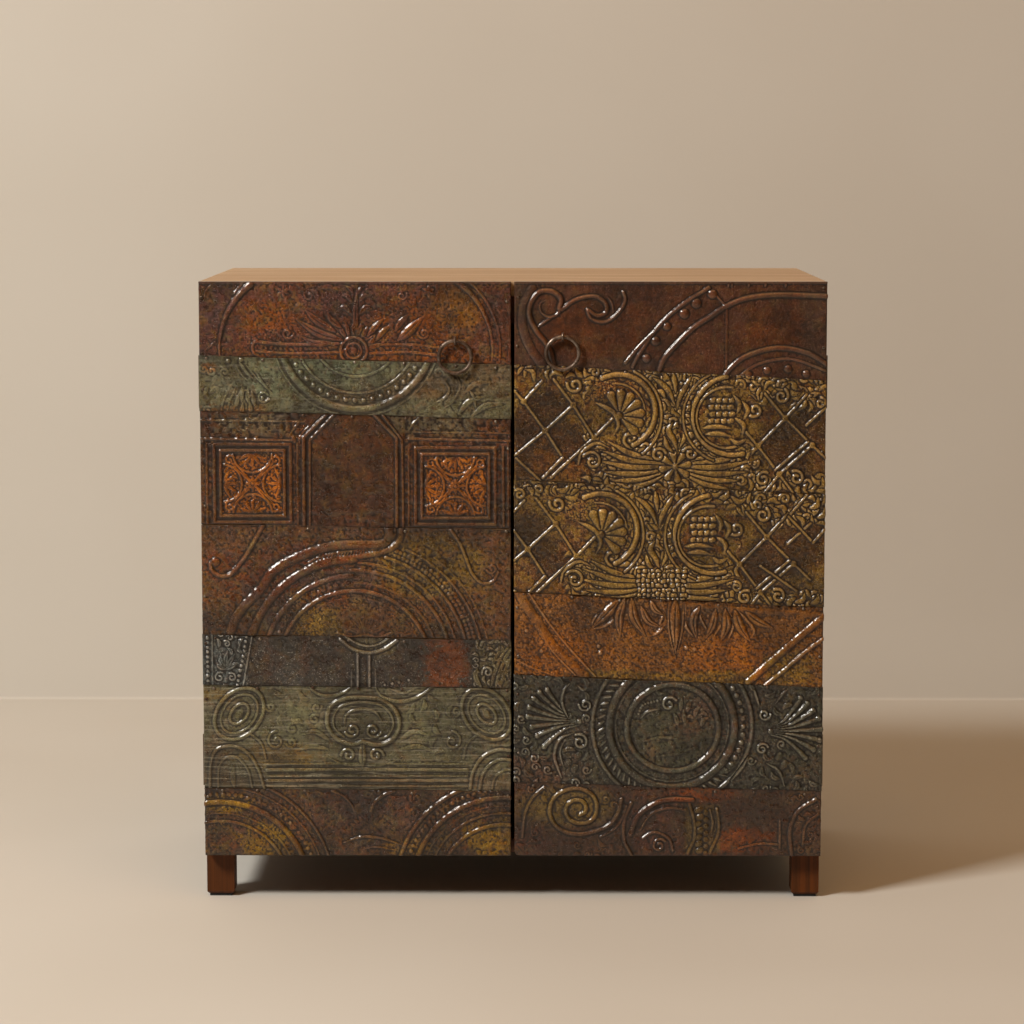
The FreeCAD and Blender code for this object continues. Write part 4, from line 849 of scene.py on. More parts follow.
coffer(tin, 20, 234, 130, 347)
coffer(tin, 310, 239, 425, 350)
for points, wide, high in (
        (((187, 186), (149, 224), (149, 362)), 5.5, 2.4), (((200, 184), (158, 228), (157, 362)), 3.6, 1.8),
        (((250, 190), (283, 225), (283, 358)), 5.0, 2.2), (((262, 190), (291, 228), (292, 358)), 3.6, 1.7),
        (((0, 199), (150, 201)), 3.2, 1.2), (((0, 226), (132, 228)), 3.4, 1.4),
        (((9, 232), (9, 352)), 3.6, 1.2), (((140, 234), (140, 352)), 2.6, 1.0),
        (((300, 240), (300, 352)), 3.0, 1.2), (((436, 238), (437, 352)), 4.4, 1.6),
        (((443, 230), (444, 352)), 3.0, 1.2), (((300, 226), (447, 229)), 3.6, 1.6),
        (((310, 216), (447, 218)), 2.6, 1.0)):
    for one, other in zip(points, points[1:]):
        tin.ridge(bow(one, other), wide, high)
for x, y in ((130, 205), (142, 212), (300, 200)):
    tin.ridge(bow((x, y + 14), (x + 7, y + 4), (x + 17, y - 6)), 3.6, 1.6, "both")
tin.rough(1.5, (0, 184, 150, 232, 8), (285, 184, 448, 236, 8))
tin.rough(0.8, (160, 330, 282, 362, 10), (0, 232, 20, 350, 6), (296, 232, 448, 352, 8))
tin.stain(0, (33, 247, 118, 333, 6), (325, 252, 411, 337, 6))
tin.stain(1, (162, 200, 280, 340, 20))
tin.stain(2, (20, 186, 130, 222, 14), (270, 188, 400, 222, 16))
coffer_tin = old_tin("brown painted tin coffers", "#55341d", "#46281b", "#1e1109", "#9b7c5c",
                     [("#a8601c", 0.9), ("#3d2415", 0.9), ("#565440", 0.75)], tinted=0.6)
tin.finish(coffer_tin, 0.8)

# Left door, fourth strip: brown and rust, the upper half of a great rosette in concentric bands,
# one of them a rope, and a scroll that hangs at each side. Inside the bands the ground is sanded.
tin = Sheet("left", 4, lap=0.3)
tin.pebbles(118, 450, 326, 520, 3.4, 0.8, 0.9)
tin.pebbles(0, 356, 446, 512, 4.6, 0.5, 0.45)
for radius, start, end, wide, high in (
        (110, 8, 172, 6.5, 2.4), (100, 14, 166, 2.6, 0.8), (132, 92, 170, 8, 2.1), (122, 20, 90, 4, 1.0),
        (140, 8, 92, 6, 1.6), (156, 90, 172, 12, 3.0), (151, 8, 88, 4, 1.3), (165, 8, 74, 5, 1.6),
        (186, 8, 66, 3.6, 1.4), (196, 12, 54, 2.6, 0.9)):
    tin.ridge(arc(221, 557, radius, start, end), wide, high)
tin.press((14, 3.0, (272, 350), (271, 368), (258, 379), (204, 380), (168, 387), (132, 401), (103, 419),
           (85, 445), (63, 467), (48, 488), (41, 507)),
          (9, 2.5, (289, 350), (287, 372), (268, 388), (226, 397), (175, 404), (139, 425), (113, 443),
           (92, 470), (74, 500), (68, 514)),
          (3.4, 1.4, (279, 350), (279, 366), (262, 384), (220, 388), (176, 396), (150, 408)))
for x in np.arange(168, 262, 4.6):
    y = 398 - 0.095 * (x - 168)
    tin.ridge(bow((x, y + 4), (x + 3.6, y - 4)), 3, 1.7)
for radius, high in ((172, 1.6), (178, 1.3)):
    tin.beads(arc(221, 557, radius, 12, 70), 3.0, high, 6.5)
tin.beads(arc(221, 557, 120, 98, 160), 2.6, 1.4, 9)
tin.ridge(bow((90, 350), (78, 372), (64, 396), (51, 413), (40, 424), (26, 425), (15, 417), (13, 407)),
          6.5, 2.5)
tin.dome(20, 405, 6.5, 2.8)
tin.press((4.6, 2.0, (361, 358), (374, 378), (383, 400), (392, 422), (405, 435), (421, 433), (429, 420)),
          (3, 1.5, curl(420, 414, 8, 3, 200, 330)))
tin.dome(235, 500, 30, 1.1, 1.3)
tin.fan(236, 512, 6, 34, 25, 155, 7, 9, 1.7)
tin.ridge(bow((196, 508), (216, 514), (236, 511), (256, 514), (276, 508)), 4, 1.6)
tin.rough(0.55, (0, 348, 448, 520, 10))
tin.rough(0.7, (240, 380, 380, 460, 20))
tin.stain(0, (150, 420, 130, 44), (24, 408, 22, 18))
tin.stain(1, (130, 470, 200, 520, 14), (330, 410, 90, 50))
tin.stain(2, (200, 430, 70, 20), (110, 480, 26, 30))
rosette_tin = old_tin("brown and rust painted tin rosette", "#65442a", "#503726", "#22150b", "#ab8c76",
                      [("#6f3620", 0.6), ("#76602f", 0.75), ("#4c3f3c", 0.6)])
tin.finish(rosette_tin)

# Left door, fifth strip: near-black sheet with a rust patch, plain but for a hanging bowl on two
# stems, a beaded fleur in the left corner on grey tin, and a leaf scroll in the right one. Its
# ridges are rubbed pale, with bright painted highlights on them.
tin = Sheet("left", 5, lap=0.7, spread=0.4)
tin.press((6, 2.2, (200, 518), (218, 532), (241, 538), (264, 532), (282, 520)),
          (3.4, 1.4, (208, 514), (224, 524), (241, 528), (258, 524), (274, 514)),
          (5, 2.0, (225, 538), (225, 588)), (5, 2.0, (242, 538), (242, 588)),
          (2.4, 1.0, (216, 562), (216, 588)), (2.4, 1.0, (251, 562), (251, 588)))
for x, y in ((264, 585), (275, 583), (285, 581), (299, 578)):
    tin.dome(x, y, 2.4, 1.4)
tin.beads(bow((64, 514), (58, 545), (50, 586)), 2.7, 1.8, 7)
tin.ridge(bow((72, 512), (66, 545), (58, 588)), 3.2, 1.5)
tin.beads(bow((7, 516), (7, 586)), 2.7, 1.8, 7)
tin.ridge(bow((14, 512), (14, 586)), 2.6, 1.2)
for turn in (90, 52, 128, 15, 165):
    a = math.radians(turn)
    tin.leaf(bow((33, 562), (33 + 10 * math.cos(a), 560 - 11 * math.sin(a)),
                 (33 + 17 * math.cos(a) + 3, 558 - 25 * math.sin(a))), 8, 2.3)
tin.press((3, 1.8, curl(24, 574, 8, 2, 60, 400)), (3, 1.8, curl(42, 574, 7, 2, 120, -400)))
tin.foliage(14, 514, 62, 590, 12, 2.4, 0.95, 0.6)
tin.foliage(398, 520, 446, 590, 10, 1.7, 0.9, 0.5)
tin.rough(1.0, (-4, 508, 74, 592, 6))
tin.press((3.4, 1.7, curl(414, 566, 9, 2.5, 200, -430)),
          (8, 1.8, "leaf", (404, 588), (396, 572), (400, 556)))
for shift in (0, 7, 14):
    tin.press((6, 1.8, "leaf", (418 + shift, 590), (424 + shift, 566), (436 + shift, 538)),
              (5, 1.5, "leaf", (420 + shift, 556), (428 + shift, 540), (440 + shift, 526)))
tin.stain(0, (352, 548, 30, 60))
tin.stain(1, (-4, 508, 66, 590, 8), tin.round_area(130, 570, 40, 20) * 0.5)
tin.stain(2, (392, 514, 450, 592, 12), (205, 514, 280, 540, 10))
# Strong pale crests: rubbed tin and bright painted highlights.
black_tin = old_tin("black painted tin", "#33271e", "#28241f", "#120d08", "#bcb8ae",
                    [("#7a3e16", 0.85), ("#4e5656", 0.9), ("#5a5236", 0.7)], wear_and_highlight=0.85, tinted=0.4,
                    blotch=0.25)
tin.finish(black_tin, 0.7)

# Left door, sixth strip: olive sheet with ovals at both ends, a closed cartouche round two curls
# in the middle, flaring scrolls above it, and straight mouldings below.
tin = Sheet("left", 6)
tin.press((5.5, 2.2, "both", (218, 586), (203, 597), (184, 602), (166, 598), (154, 588)),
          (6.5, 2.5, "both", (250, 587), (257, 600), (273, 608), (293, 609), (312, 603), (334, 588)),
          (4, 1.6, "both", (270, 590), (292, 597), (312, 588)))
for x, tilt in ((52, 50), (412, 130)):
    for long, short, wide, high in ((42, 31, 6, 2.2), (32, 23, 3.4, 1.5), (17, 11, 4.6, 1.9)):
        tin.ridge(oval(x, 628, long, short, tilt), wide, high)
    tin.dome(x, 628, 5, 1.5, 1.7, tilt)
tin.press((7, 2.9, (231, 669), (215, 673), (196, 666), (183, 651), (180, 634), (186, 616), (204, 606),
           (232, 604), (262, 608), (280, 624), (285, 644), (276, 664), (255, 674), (231, 669)),
          (3.6, 1.9, (204, 662), (191, 649), (189, 634), (196, 620), (210, 613), (234, 611), (258, 615),
           (273, 629), (276, 645), (268, 660), (256, 665)),
          (5, 2.1, "both", (205, 647), (207, 632), (218, 623), (236, 621), (252, 627), (260, 640)),
          (4.4, 2.3, curl(217, 652, 11, 3, 200, 440)), (4.4, 2.3, curl(247, 652, 12, 3, -20, -450)),
          (12, 2.4, "leaf", (231, 708), (231, 688), (232, 664)))
for bend in (-1, 1):
    tin.press((4.6, 2.2, curl(231 + bend * 20, 689, 11, 3, 90 - bend * 90, bend * 400)),
              (4, 1.6, "end", (234 + bend * 6, 704), (234 + bend * 24, 704), (234 + bend * 42, 698),
               (234 + bend * 56, 690)),
              (8, 1.5, "leaf", (234 + bend * 50, 668), (234 + bend * 72, 654), (234 + bend * 96, 660)),
              (8, 1.4, "leaf", (234 + bend * 52, 680), (234 + bend * 78, 676), (234 + bend * 104, 684)),
              (3.8, 1.7, curl(234 + bend * 128, 668, 15, 3, 90, -bend * 430)),
              (3.6, 1.4, (234 + bend * 144, 694), (234 + bend * 150, 672), (234 + bend * 168, 656)))
for y, wide, high in ((702, 3.2, 1.1), (711, 5.5, 2.0), (720, 3.0, 1.2), (727, 4.4, 1.7), (735, 3.4, 1.2)):
    tin.ridge(bow((92, y), (230, y - 0.5), (384, y)), wide, high)
tin.press((5, 2.1, (8, 738), (10, 700), (20, 680), (44, 676), (66, 688), (80, 712), (88, 740)),
          (3.4, 1.5, (20, 738), (22, 706), (34, 692), (50, 694), (64, 712), (70, 738)),
          (8, 1.7, "leaf", (44, 738), (42, 720), (44, 702)),
          (5.5, 2.3, (388, 738), (392, 714), (406, 692), (428, 681), (446, 682)),
          (5, 2.0, (402, 738), (406, 718), (418, 702), (434, 695), (447, 696)),
          (3.6, 1.5, (420, 738), (424, 722), (436, 712), (447, 711)))
tin.foliage(92, 604, 186, 696, 17, 1.1, 0.55)
tin.foliage(288, 612, 384, 696, 16, 1.4, 0.7)
tin.foliage(352, 676, 446, 738, 15, 1.2, 0.6)
tin.rough(0.3, (0, 584, 448, 742, 10))
tin.stain(0, (110, 690, 70, 22), (0, 590, 40, 612, 8))
tin.stain(1, (120, 640, 70, 34), (330, 640, 50, 30))
tin.stain(2, tin.inside(0, 718, 447, 742, 10) * 0.9, (20, 690, 20, 40))
olive_tin = old_tin("olive painted tin, brushed", "#5d5a40", "#4d4c39", "#241f14", "#9e9882",
                    [("#745c2c", 0.65), ("#68694e", 0.6), ("#55402a", 0.65)], other_share=0.55,
                    tinted=0.5, blotch=0.2, brushed=0.4)
tin.finish(olive_tin, 0.6)

# Left door, seventh strip: brown sheet with quarter rosettes in both lower corners, their bands
# beaded and sanded, and gold rubbed into the ground.
tin = Sheet("left", 7, lap=0.6, spread=-0.3)
tin.pebbles(0, 760, 130, 836, 4.0, 0.6, 0.6)
tin.pebbles(320, 756, 446, 836, 4.2, 0.5, 0.5)
tin.pebbles(130, 745, 320, 836, 5.2, 0.35, 0.4)
for radius, wide, high in ((164, 4.5, 1.6), (151, 3, 1.1), (128, 9, 2.6), (100, 5, 1.8), (112, 3, 1.0)):
    tin.ridge(arc(24, 887, radius, 0, 110), wide, high)
tin.beads(arc(24, 887, 140, 10, 100), 3.0, 1.6, 9)
for radius, wide, high in ((157, 6.5, 2.5), (133, 8, 2.5), (110, 4, 1.5), (93, 6.5, 2.1), (121, 2.6, 1.0)):
    tin.ridge(arc(436, 885, radius, 80, 180), wide, high)
tin.beads(arc(436, 885, 145, 90, 172), 2.9, 1.7, 8.5)
tin.press((4.6, 1.7, "both", (202, 819), (222, 812), (241, 810), (264, 814), (287, 822)),
          (3.6, 1.4, "both", (229, 829), (250, 825), (278, 830)),
          (5, 1.9, (243, 772), (247, 761), (260, 749), (277, 742)),
          (3.4, 1.2, (218, 772), (214, 761), (202, 749), (186, 742)))
for turn in np.linspace(20, 160, 8):
    a = math.radians(turn)
    tin.leaf(bow((240 + 12 * math.cos(a), 800 - 8 * math.sin(a)),
                 (240 + 30 * math.cos(a), 798 - 22 * math.sin(a))), 7, 1.1)
tin.foliage(150, 742, 330, 800, 19, 1.0, 0.5)
tin.rough(0.6, (0, 738, 448, 840, 10))
tin.stain(0, (90, 818, 50, 32), (415, 815, 40, 34), (40, 760, 40, 14))
tin.stain(1, (240, 770, 90, 40))
tin.stain(2, (300, 825, 40, 16), (140, 830, 30, 14))
gilt_brown_tin = old_tin("brown painted tin, gold rubbed in", "#4e3320", "#3d281a", "#1b1009", "#ae9272",
                         [("#86692c", 0.8), ("#4a3028", 0.6), ("#75582a", 0.7)])
tin.finish(gilt_brown_tin)

# Right door, first strip: smooth red-brown sheet with a broad stem behind the pull that curls over
# at its head, a vine that ends in a second curl, and two studded arches. Its ground is plain.
tin = Sheet("right", 1, lap=0.4)
tin.press((13, 1.5, (478, 10), (466, 34), (464, 62), (474, 92), (494, 122)),
          (7.5, 3.0, (517, 38), (519, 24), (506, 14), (488, 15), (476, 30), (474, 48), (484, 70),
           (502, 94), (510, 124)),
          (5, 2.3, "end", (519, 26), (516, 44), (503, 51), (491, 44), (489, 32), (498, 26)),
          (4.6, 2.2, "both", (486, 65), (494, 59), (506, 52)),
          (6, 2.6, (520, 40), (540, 26), (566, 21), (582, 30), (584, 43), (572, 49), (560, 42)),
          (5, 2.4, (557, 40), (562, 52), (577, 58), (592, 53), (606, 38), (611, 25), (608, 15)),
          (3, 1.6, "both", (586, 22), (592, 31), (594, 44)),
          (5, 1.7, (612, 116), (632, 92), (658, 66), (682, 42), (730, 8)),
          (5, 2.3, (622, 122), (632, 103), (654, 70), (672, 50), (699, 28), (731, 9)))
for x, y, r in ((642, 110, 6), (655, 85, 6.2), (671, 64, 5.6), (696, 46, 7), (713, 31, 7), (736, 18, 6.6)):
    tin.dome(x, y, r, 2.9)
tin.press((7.5, 2.6, (660, 128), (668, 109), (689, 85), (710, 65), (733, 50), (754, 36), (784, 24),
           (828, 19), (902, 21)),
          (3, 1.2, (739, 17), (754, 34)))
tin.score(bow((753, 40), (753, 140)), 4, 0.8)
tin.press((3, 0.9, (756.5, 38), (756.5, 140)),
          (7, 2.3, (751, 140), (763, 123), (786, 106), (828, 95), (872, 102), (905, 121)),
          (4, 1.3, (768, 142), (796, 121), (826, 112), (856, 112), (900, 128)))
for x, y in ((788, 133), (815, 127), (845, 125), (871, 132)):
    tin.dome(x, y, 5.4, 2.4)
for x, y in ((759, 5), (764, 5), (788, 5), (812, 4.5), (841, 4.5)):
    tin.ridge(bow((x, y - 3), (x - 1, y + 3)), 3.2, 1.6, "both")
tin.ridge(bow((452, 1.6), (900, 1.6)), 3.4, 0.9)
tin.stain(0, (560, 70, 90, 40), (830, 70, 70, 30))
tin.stain(1, (860, 0, 902, 140, 20), (452, 0, 480, 120, 16), (600, 120, 90, 12))
red_tin = old_tin("red-brown painted tin", "#553322", "#462a1d", "#22130b", "#a1836c",
                  [("#5c3218", 0.7), ("#40332a", 0.65)], rough=0.38, tinted=0.35)
tin.finish(red_tin, 0.55)


def shell_and_trellis(sheet, along, down):
    """The pattern that two strips share: a shell in a curled frame, an oval medallion, sprays of
    long leaves that meet in a flower, trellis at both sides, and close foliage wherever none is."""
    def at(*points):
        return bow(*[(x + along, y + down) for x, y in points])

    def bars(*ends):
        sheet.trellis(*[[(x + along, y + down) for x, y in pair] for pair in ends])

    def spokes(x, y, inner, outer, turns, wide, high):
        for turn in turns:
            sheet.ridge(at(off(x, y, inner, turn), off(x, y, outer, turn)), wide, high, "start", 0.5)

    def blades(high, *rows):
        for wide, *points in rows:
            sheet.ridge(at(*points), wide, high, "leaf", 0.5)

    panels = sheet.inside(452 + along, 134 + down, 556 + along, 290 + down, 3)
    panels = panels + sheet.inside(800 + along, 180 + down, 960, 276 + down, 3)
    panels = panels + sheet.round_area(838 + along, 182 + down, 20, 22)
    sheet.dense(1 - panels, 16, 2.2)
    sheet.rise = sheet.rise * (1 - np.clip(sheet.round_area(598 + along, 186 + down, 48, 48, 0.3)
                                           + sheet.round_area(760 + along, 194 + down, 42, 50, 0.3), 0, 1))
    bars(((492, 143), (466, 172)), ((466, 172), (497, 214)), ((497, 214), (537, 177)),
         ((509, 140), (537, 177)), ((537, 177), (567, 224)), ((567, 224), (600, 190)),
         ((567, 224), (505, 282)), ((447, 255), (497, 214)), ((497, 214), (522, 253)),
         ((522, 253), (489, 287)), ((455, 254), (492, 288)), ((452, 156), (466, 172)),
         ((812, 160), (842, 196)), ((842, 196), (803, 236)), ((842, 196), (881, 235)),
         ((803, 236), (834, 277)), ((881, 235), (834, 277)), ((875, 230), (828, 271)),
         ((780, 210), (803, 236)), ((881, 235), (905, 258)), ((834, 277), (812, 305)),
         ((834, 277), (856, 306)), ((842, 196), (872, 162)), ((872, 206), (905, 176)))
    for x, y in ((466, 172), (497, 214), (537, 177), (567, 224), (842, 196), (803, 236), (881, 235),
                 (834, 277)):
        sheet.dome(x + along, y + down, 4.6, 2.4, dish=1.2)
    sheet.pebbles(557 + along, 138 + down, 598 + along, 172 + down, 3.4, 1.3, 0.97)
    for bend, x0 in ((-1, 668), (1, 700)):
        for rise, reach in ((24, 66), (-24, 84), (15, 78), (-15, 92), (6, 90), (-5, 98)):
            blades(2.4, (9, (x0, 268 + rise * 0.4), (x0 + bend * reach * 0.5, 271 + rise * 0.9),
                         (x0 + bend * reach, 264 + rise * 1.5)))
    spokes(684, 266, 3, 19, range(10, 370, 45), 10, 2.5)
    sheet.dome(684 + along, 266 + down, 5, 3)
    blades(2.5, (9, (680, 202), (674, 214), (682, 228), (687, 244)),
           (7, (694, 206), (698, 220), (690, 240)), (7, (668, 222), (672, 236), (682, 246)),
           (8, (652, 138), (664, 146), (676, 160), (684, 180)),
           (8, (706, 136), (698, 150), (690, 166), (686, 184)), (8, (680, 130), (683, 146), (684, 160)),
           (7, (570, 174), (585, 181), (597, 190), (602, 206), (594, 222)),
           (6, (544, 264), (550, 246), (570, 232), (592, 240)))
    for x, y, size, start, turns in ((660, 249, 11, 20, 430), (706, 247, 11, 160, -430),
                                     (540, 148, 12, 170, 420), (565, 258, 15, 150, -430),
                                     (798, 184, 13, 150, 430), (620, 226, 13, -70, -420),
                                     (742, 243, 12, -30, 430), (811, 284, 11, 60, 420),
                                     (859, 282, 11, 120, -420), (836, 164, 11, 60, -420)):
        sheet.ridge(curl(x + along, y + down, size, 3, start, turns), 5, 2.5)
    sheet.ridge(arc(602 + along, 186 + down, 53, 116, -66), 8.5, 3.3)
    sheet.ridge(arc(594 + along, 192 + down, 70, 64, -52), 4.4, 1.9)
    sheet.ridge(arc(598 + along, 188 + down, 42, 96, -50), 3, 1.3)
    spokes(603, 192, 8, 31, np.linspace(-46, 112, 7), 13, 2.7)
    sheet.dome(602 + along, 193 + down, 6, 2.6)
    sheet.ridge(arc(766.5 + along, 192 + down, 57, 100, 285), 8, 3.2)
    sheet.ridge(arc(762 + along, 194 + down, 67, 116, 250), 4, 1.6)
    sheet.ridge(arc(758 + along, 195 + down, 44, 80, 300), 4, 1.9)
    for row, y in enumerate((170, 180, 190, 200)):
        for x in range(738 - 2 * (row % 2), 766, 9):
            sheet.ridge(at((x - 1.6, y + 0.4), (x + 1.6, y - 0.4)), 7, 2.2, "none", 0.5)
    blades(2.4, (7, (724, 210), (744, 208), (766, 211)), (7, (728, 219), (746, 218), (764, 222)),
           (7, (768, 164), (776, 176), (772, 190)), (7, (780, 172), (788, 184), (782, 198)),
           (7, (770, 196), (782, 206), (780, 222)), (7, (764, 226), (774, 232), (786, 226)))


# Right door, second and third strips: both from one pattern, gold over dark brown, the second
# further along it. Gold is left on most of it, and the trellis panels are worn dark.
GILT = ("#907442", "#664428", "#1a0f07", "#e0c498")
tin = Sheet("right", 2, lap=0.3)
shell_and_trellis(tin, 0, 0)
tin.rough(0.45, (452, 118, 900, 310, 10))
tin.stain(0, (560, 130, 640, 170, 20), (505, 250, 70, 40))
tin.stain(1, (500, 182, 34, 32), (530, 232, 34, 28), (470, 214, 20, 34), (842, 236, 42, 40),
          (884, 204, 26, 30))
tin.stain(2, (640, 262, 90, 40), (452, 176, 480, 290, 8), (860, 270, 60, 40))
gold_tin = old_tin("gold over brown painted tin", *GILT,
                   [("#6e3c20", 0.6), ("#38210f", 0.85), ("#4a2e18", 0.75)], ("#8f7647", 0.6),
                   tinted=0.25, blotch=0.8)
tin.finish(gold_tin, 0.8)
tin = Sheet("right", 3, lap=0.7, spread=0.5)
shell_and_trellis(tin, -25, 172)
tin.trellis([(880, 300), (848, 338)], [(848, 338), (884, 376)], [(884, 376), (905, 352)],
            [(808, 410), (860, 446)])
for x in range(634, 700, 7):
    for y in range(418, 462, 7):
        tin.ridge(bow((x + tin.chance.uniform(-3, 3), y + tin.chance.uniform(-3, 3)),
                      (x + tin.chance.uniform(-3, 3), y)), tin.chance.uniform(5, 8), 2.5, "none", 0.5)
tin.rough(0.45, (452, 284, 900, 480, 10))
tin.stain(0, (452, 430, 560, 470, 16))
tin.stain(1, (474, 360, 34, 34), (505, 406, 34, 28), (817, 408, 42, 40), (872, 384, 30, 40))
tin.stain(2, (452, 286, 560, 306, 8), (860, 350, 60, 50), (690, 440, 60, 24), (790, 430, 60, 40))
dark_gold_tin = old_tin("dark gold over brown painted tin", *GILT,
                        [("#6e4420", 0.6), ("#352010", 0.85), ("#49301a", 0.75)], ("#8f7645", 0.6),
                        tinted=0.25, blotch=0.8)
tin.finish(dark_gold_tin, 0.8)

# Right door, fourth strip: sandy orange sheet, rusted through its paint. Long petals hang from its
# head round a spear, between a broad band at the left and two bright ridges that climb to the right.
tin = Sheet("right", 4)
tin.pebbles(455, 455, 898, 588, 3.4, 0.8, 0.6)
tin.press((15, 1.7, (458, 444), (466, 462), (489, 497), (512, 532), (556, 574)),
          (3.4, 2.0, (462, 452), (484, 490), (506, 532), (541, 570)),
          (3.4, 1.6, (472, 448), (500, 490), (530, 528), (570, 572)),
          (3, 1.0, (440, 540), (480, 560), (520, 574)),
          (11, 3.0, (792, 580), (830, 546), (860, 519), (892, 491), (905, 480)),
          (6, 2.6, (806, 594), (839, 567), (872, 538), (904, 514)),
          (9, 1.0, (700, 466), (780, 474), (900, 482)),
          (4.4, 2.3, "both", (612, 461), (590, 470), (568, 488), (565, 502)),
          (4.4, 2.2, "both", (612, 466), (600, 486), (582, 499), (566, 502)),
          (5, 2.2, "both", (620, 456), (605, 478), (603, 498), (611, 514)),
          (5, 2.1, "both", (622, 462), (618, 482), (628, 500), (642, 512)),
          (5, 2.5, "both", (652, 512), (660, 508), (668, 500)),
          (4, 2.4, "both", (668, 478), (666, 488), (662, 496)),
          (4, 1.8, "both", (646, 476), (640, 484), (634, 494)),
          (5, 2.2, "both", (702, 466), (698, 490), (706, 506), (718, 518)),
          (4, 1.8, "both", (716, 470), (724, 490), (732, 504)),
          (5, 2.0, "both", (762, 472), (756, 490), (742, 512)),
          (5, 2.1, "both", (762, 476), (770, 494), (762, 520)),
          (4.4, 2.6, "both", (757, 503), (755, 509), (752, 516)),
          (5, 2.0, "both", (774, 474), (790, 490), (800, 506), (792, 518)),
          (3.4, 1.4, "both", (772, 478), (780, 496), (788, 514)))
tin.cut = 1.6
for points, wide in ((((604, 460), (588, 478), (566, 500)), 15),
                     (((612, 458), (604, 486), (606, 514)), 13),
                     (((622, 458), (626, 486), (642, 512)), 13),
                     (((636, 470), (646, 490), (664, 500)), 10),
                     (((650, 462), (656, 474), (668, 482)), 9),
                     (((720, 470), (712, 490), (716, 516)), 12),
                     (((744, 474), (740, 496), (730, 516)), 11),
                     (((758, 474), (760, 498), (752, 520)), 13),
                     (((772, 476), (780, 500), (794, 520)), 14),
                     (((788, 478), (806, 492), (826, 500)), 12)):
    tin.leaf(bow(*points), wide, 3.0, 0.6)
tin.leaf(bow((686, 458), (685, 505), (686, 546)), 17, 3.4, 0.6)
tin.press((3, 1.6, "both", (676, 466), (676, 500), (684, 540)),
          (3, 1.6, "both", (697, 466), (696, 500), (688, 540)))
for x, y in ((575, 528), (577, 538), (492, 522), (492, 535), (702, 530), (714, 532), (470, 505)):
    tin.dome(x, y, 3.2, 2.4)
tin.rough(0.9, (452, 448, 900, 590, 10))
tin.stain(0, (520, 540, 60, 40), (770, 545, 70, 34))
tin.stain(1, (660, 480, 120, 26), tin.inside(466, 450, 560, 574, 4) * 0.4)
tin.stain(2, (560, 562, 800, 590, 8), (850, 560, 40, 30))
# Stronger pale crests and glints, standing for rubbed metal and painted highlights; lighter soiling and
# painted shade in the creases.
rusty_tin = old_tin("orange painted tin, rusted", "#8f6036", "#754d29", "#2c1a0d", "#d0ae88",
                    [("#98591f", 0.7), ("#5e3e24", 0.8), ("#7a6430", 0.75)], rough=0.34, grime_and_shade=0.7,
                    wear_and_highlight=0.6, tinted=0.4, blotch=0.35)
tin.finish(rusty_tin, 1.1)

# Right door, fifth strip: blue-green sheet gone nearly black, with a great medallion of three rings
# and a feathered palmette between two volutes at each side.
tin = Sheet("right", 5, lap=0.7, spread=0.6)
tin.press((8.5, 2.8, oval(683, 648, 67, 63.5, 0)), (11, 3.0, arc(682, 645, 91, 0, 360)),
          (2.6, 0.8, arc(682, 645, 82, 0, 360)), (6.5, 2.4, arc(682, 645, 116, 0, 360)))
tin.beads(arc(682, 645, 103.5, -40, 52), 3.8, 2.3, 12)
for turn in np.arange(110, 320, 5.5):
    tin.ridge(bow(off(682, 645, 98, turn), off(682, 645, 109, turn + 3.6)), 4.6, 1.7, "both")
tin.ridge(curl(677, 613, 12, 3, 30, 400), 4.6, 2.4)
tin.beads(bow((633, 627), (640, 614), (660, 608)), 2.2, 1.6, 4.6)
tin.ridge(bow((636, 634), (646, 624), (664, 620)), 4, 1.8, "both")
for x, y, turn in ((694, 612, 80), (704, 614, 60), (714, 622, 40), (700, 630, 100), (724, 636, 20),
                   (690, 634, 120)):
    a = math.radians(turn)
    tin.leaf(bow((x, y + 10), (x + 4 * math.cos(a), y), (x + 12 * math.cos(a), y - 10 * math.sin(a))), 7,
             1.8)
tin.press((5, 1.0, "both", (640, 668), (664, 662), (690, 664)),
          (5, 0.9, "both", (660, 690), (690, 686), (716, 676)))
tin.cut = 1.3
for side, x0, y0, tips in ((-1, 547, 639, ((500, 592), (489, 596), (481, 605), (474, 618), (472, 632),
                                           (478, 647), (486, 660), (496, 676))),
                           (1, 825, 653, ((868, 604), (878, 612), (887, 622), (895, 634), (899, 650),
                                          (896, 666), (888, 680), (876, 692)))):
    for x, y in tips:
        tin.ridge(bow((x0, y0 + (y - y0) * 0.12), (x0 + (x - x0) * 0.42, y0 + (y - y0) * 0.3),
                      (x0 + (x - x0) * 0.82, y0 + (y - y0) * 0.74), (x, y)), 7.5, 2.8, "start", 0.6)
        tin.dome(x, y, 4.2, 3.0)
    tin.dome(x0, y0, 4, 2.5)
tin.press((5.5, 2.5, "both", (530, 632), (522, 612), (524, 594), (532, 583)),
          (6, 2.6, "both", (536, 656), (518, 666), (511, 690), (521, 722)),
          (3, 1.5, "both", (528, 662), (519, 684), (526, 712)),
          (5, 2.0, "both", (545, 586), (552, 592), (560, 588)),
          (5, 2.4, "both", (801, 591), (804, 602), (808, 614)),
          (5.5, 2.6, "both", (793, 690), (783, 708), (768, 726)),
          (5, 1.9, "both", (820, 700), (838, 712), (846, 734)),
          (4, 1.7, "both", (832, 612), (842, 598), (850, 590)),
          (4.2, 2.5, curl(556, 614, 10, 2.6, 180, 470)), (4.6, 2.6, curl(548, 669, 12.5, 3, 120, -470)),
          (4.2, 2.5, curl(816, 628, 9, 2.4, 0, -450)), (4.2, 2.5, curl(813, 679, 9, 2.4, 20, 450)))
for x, y in ((530, 700), (540, 708), (545, 690), (756, 712), (768, 704), (838, 690), (846, 702)):
    tin.dome(x, y, 5, 1.8, 1.4, 60)
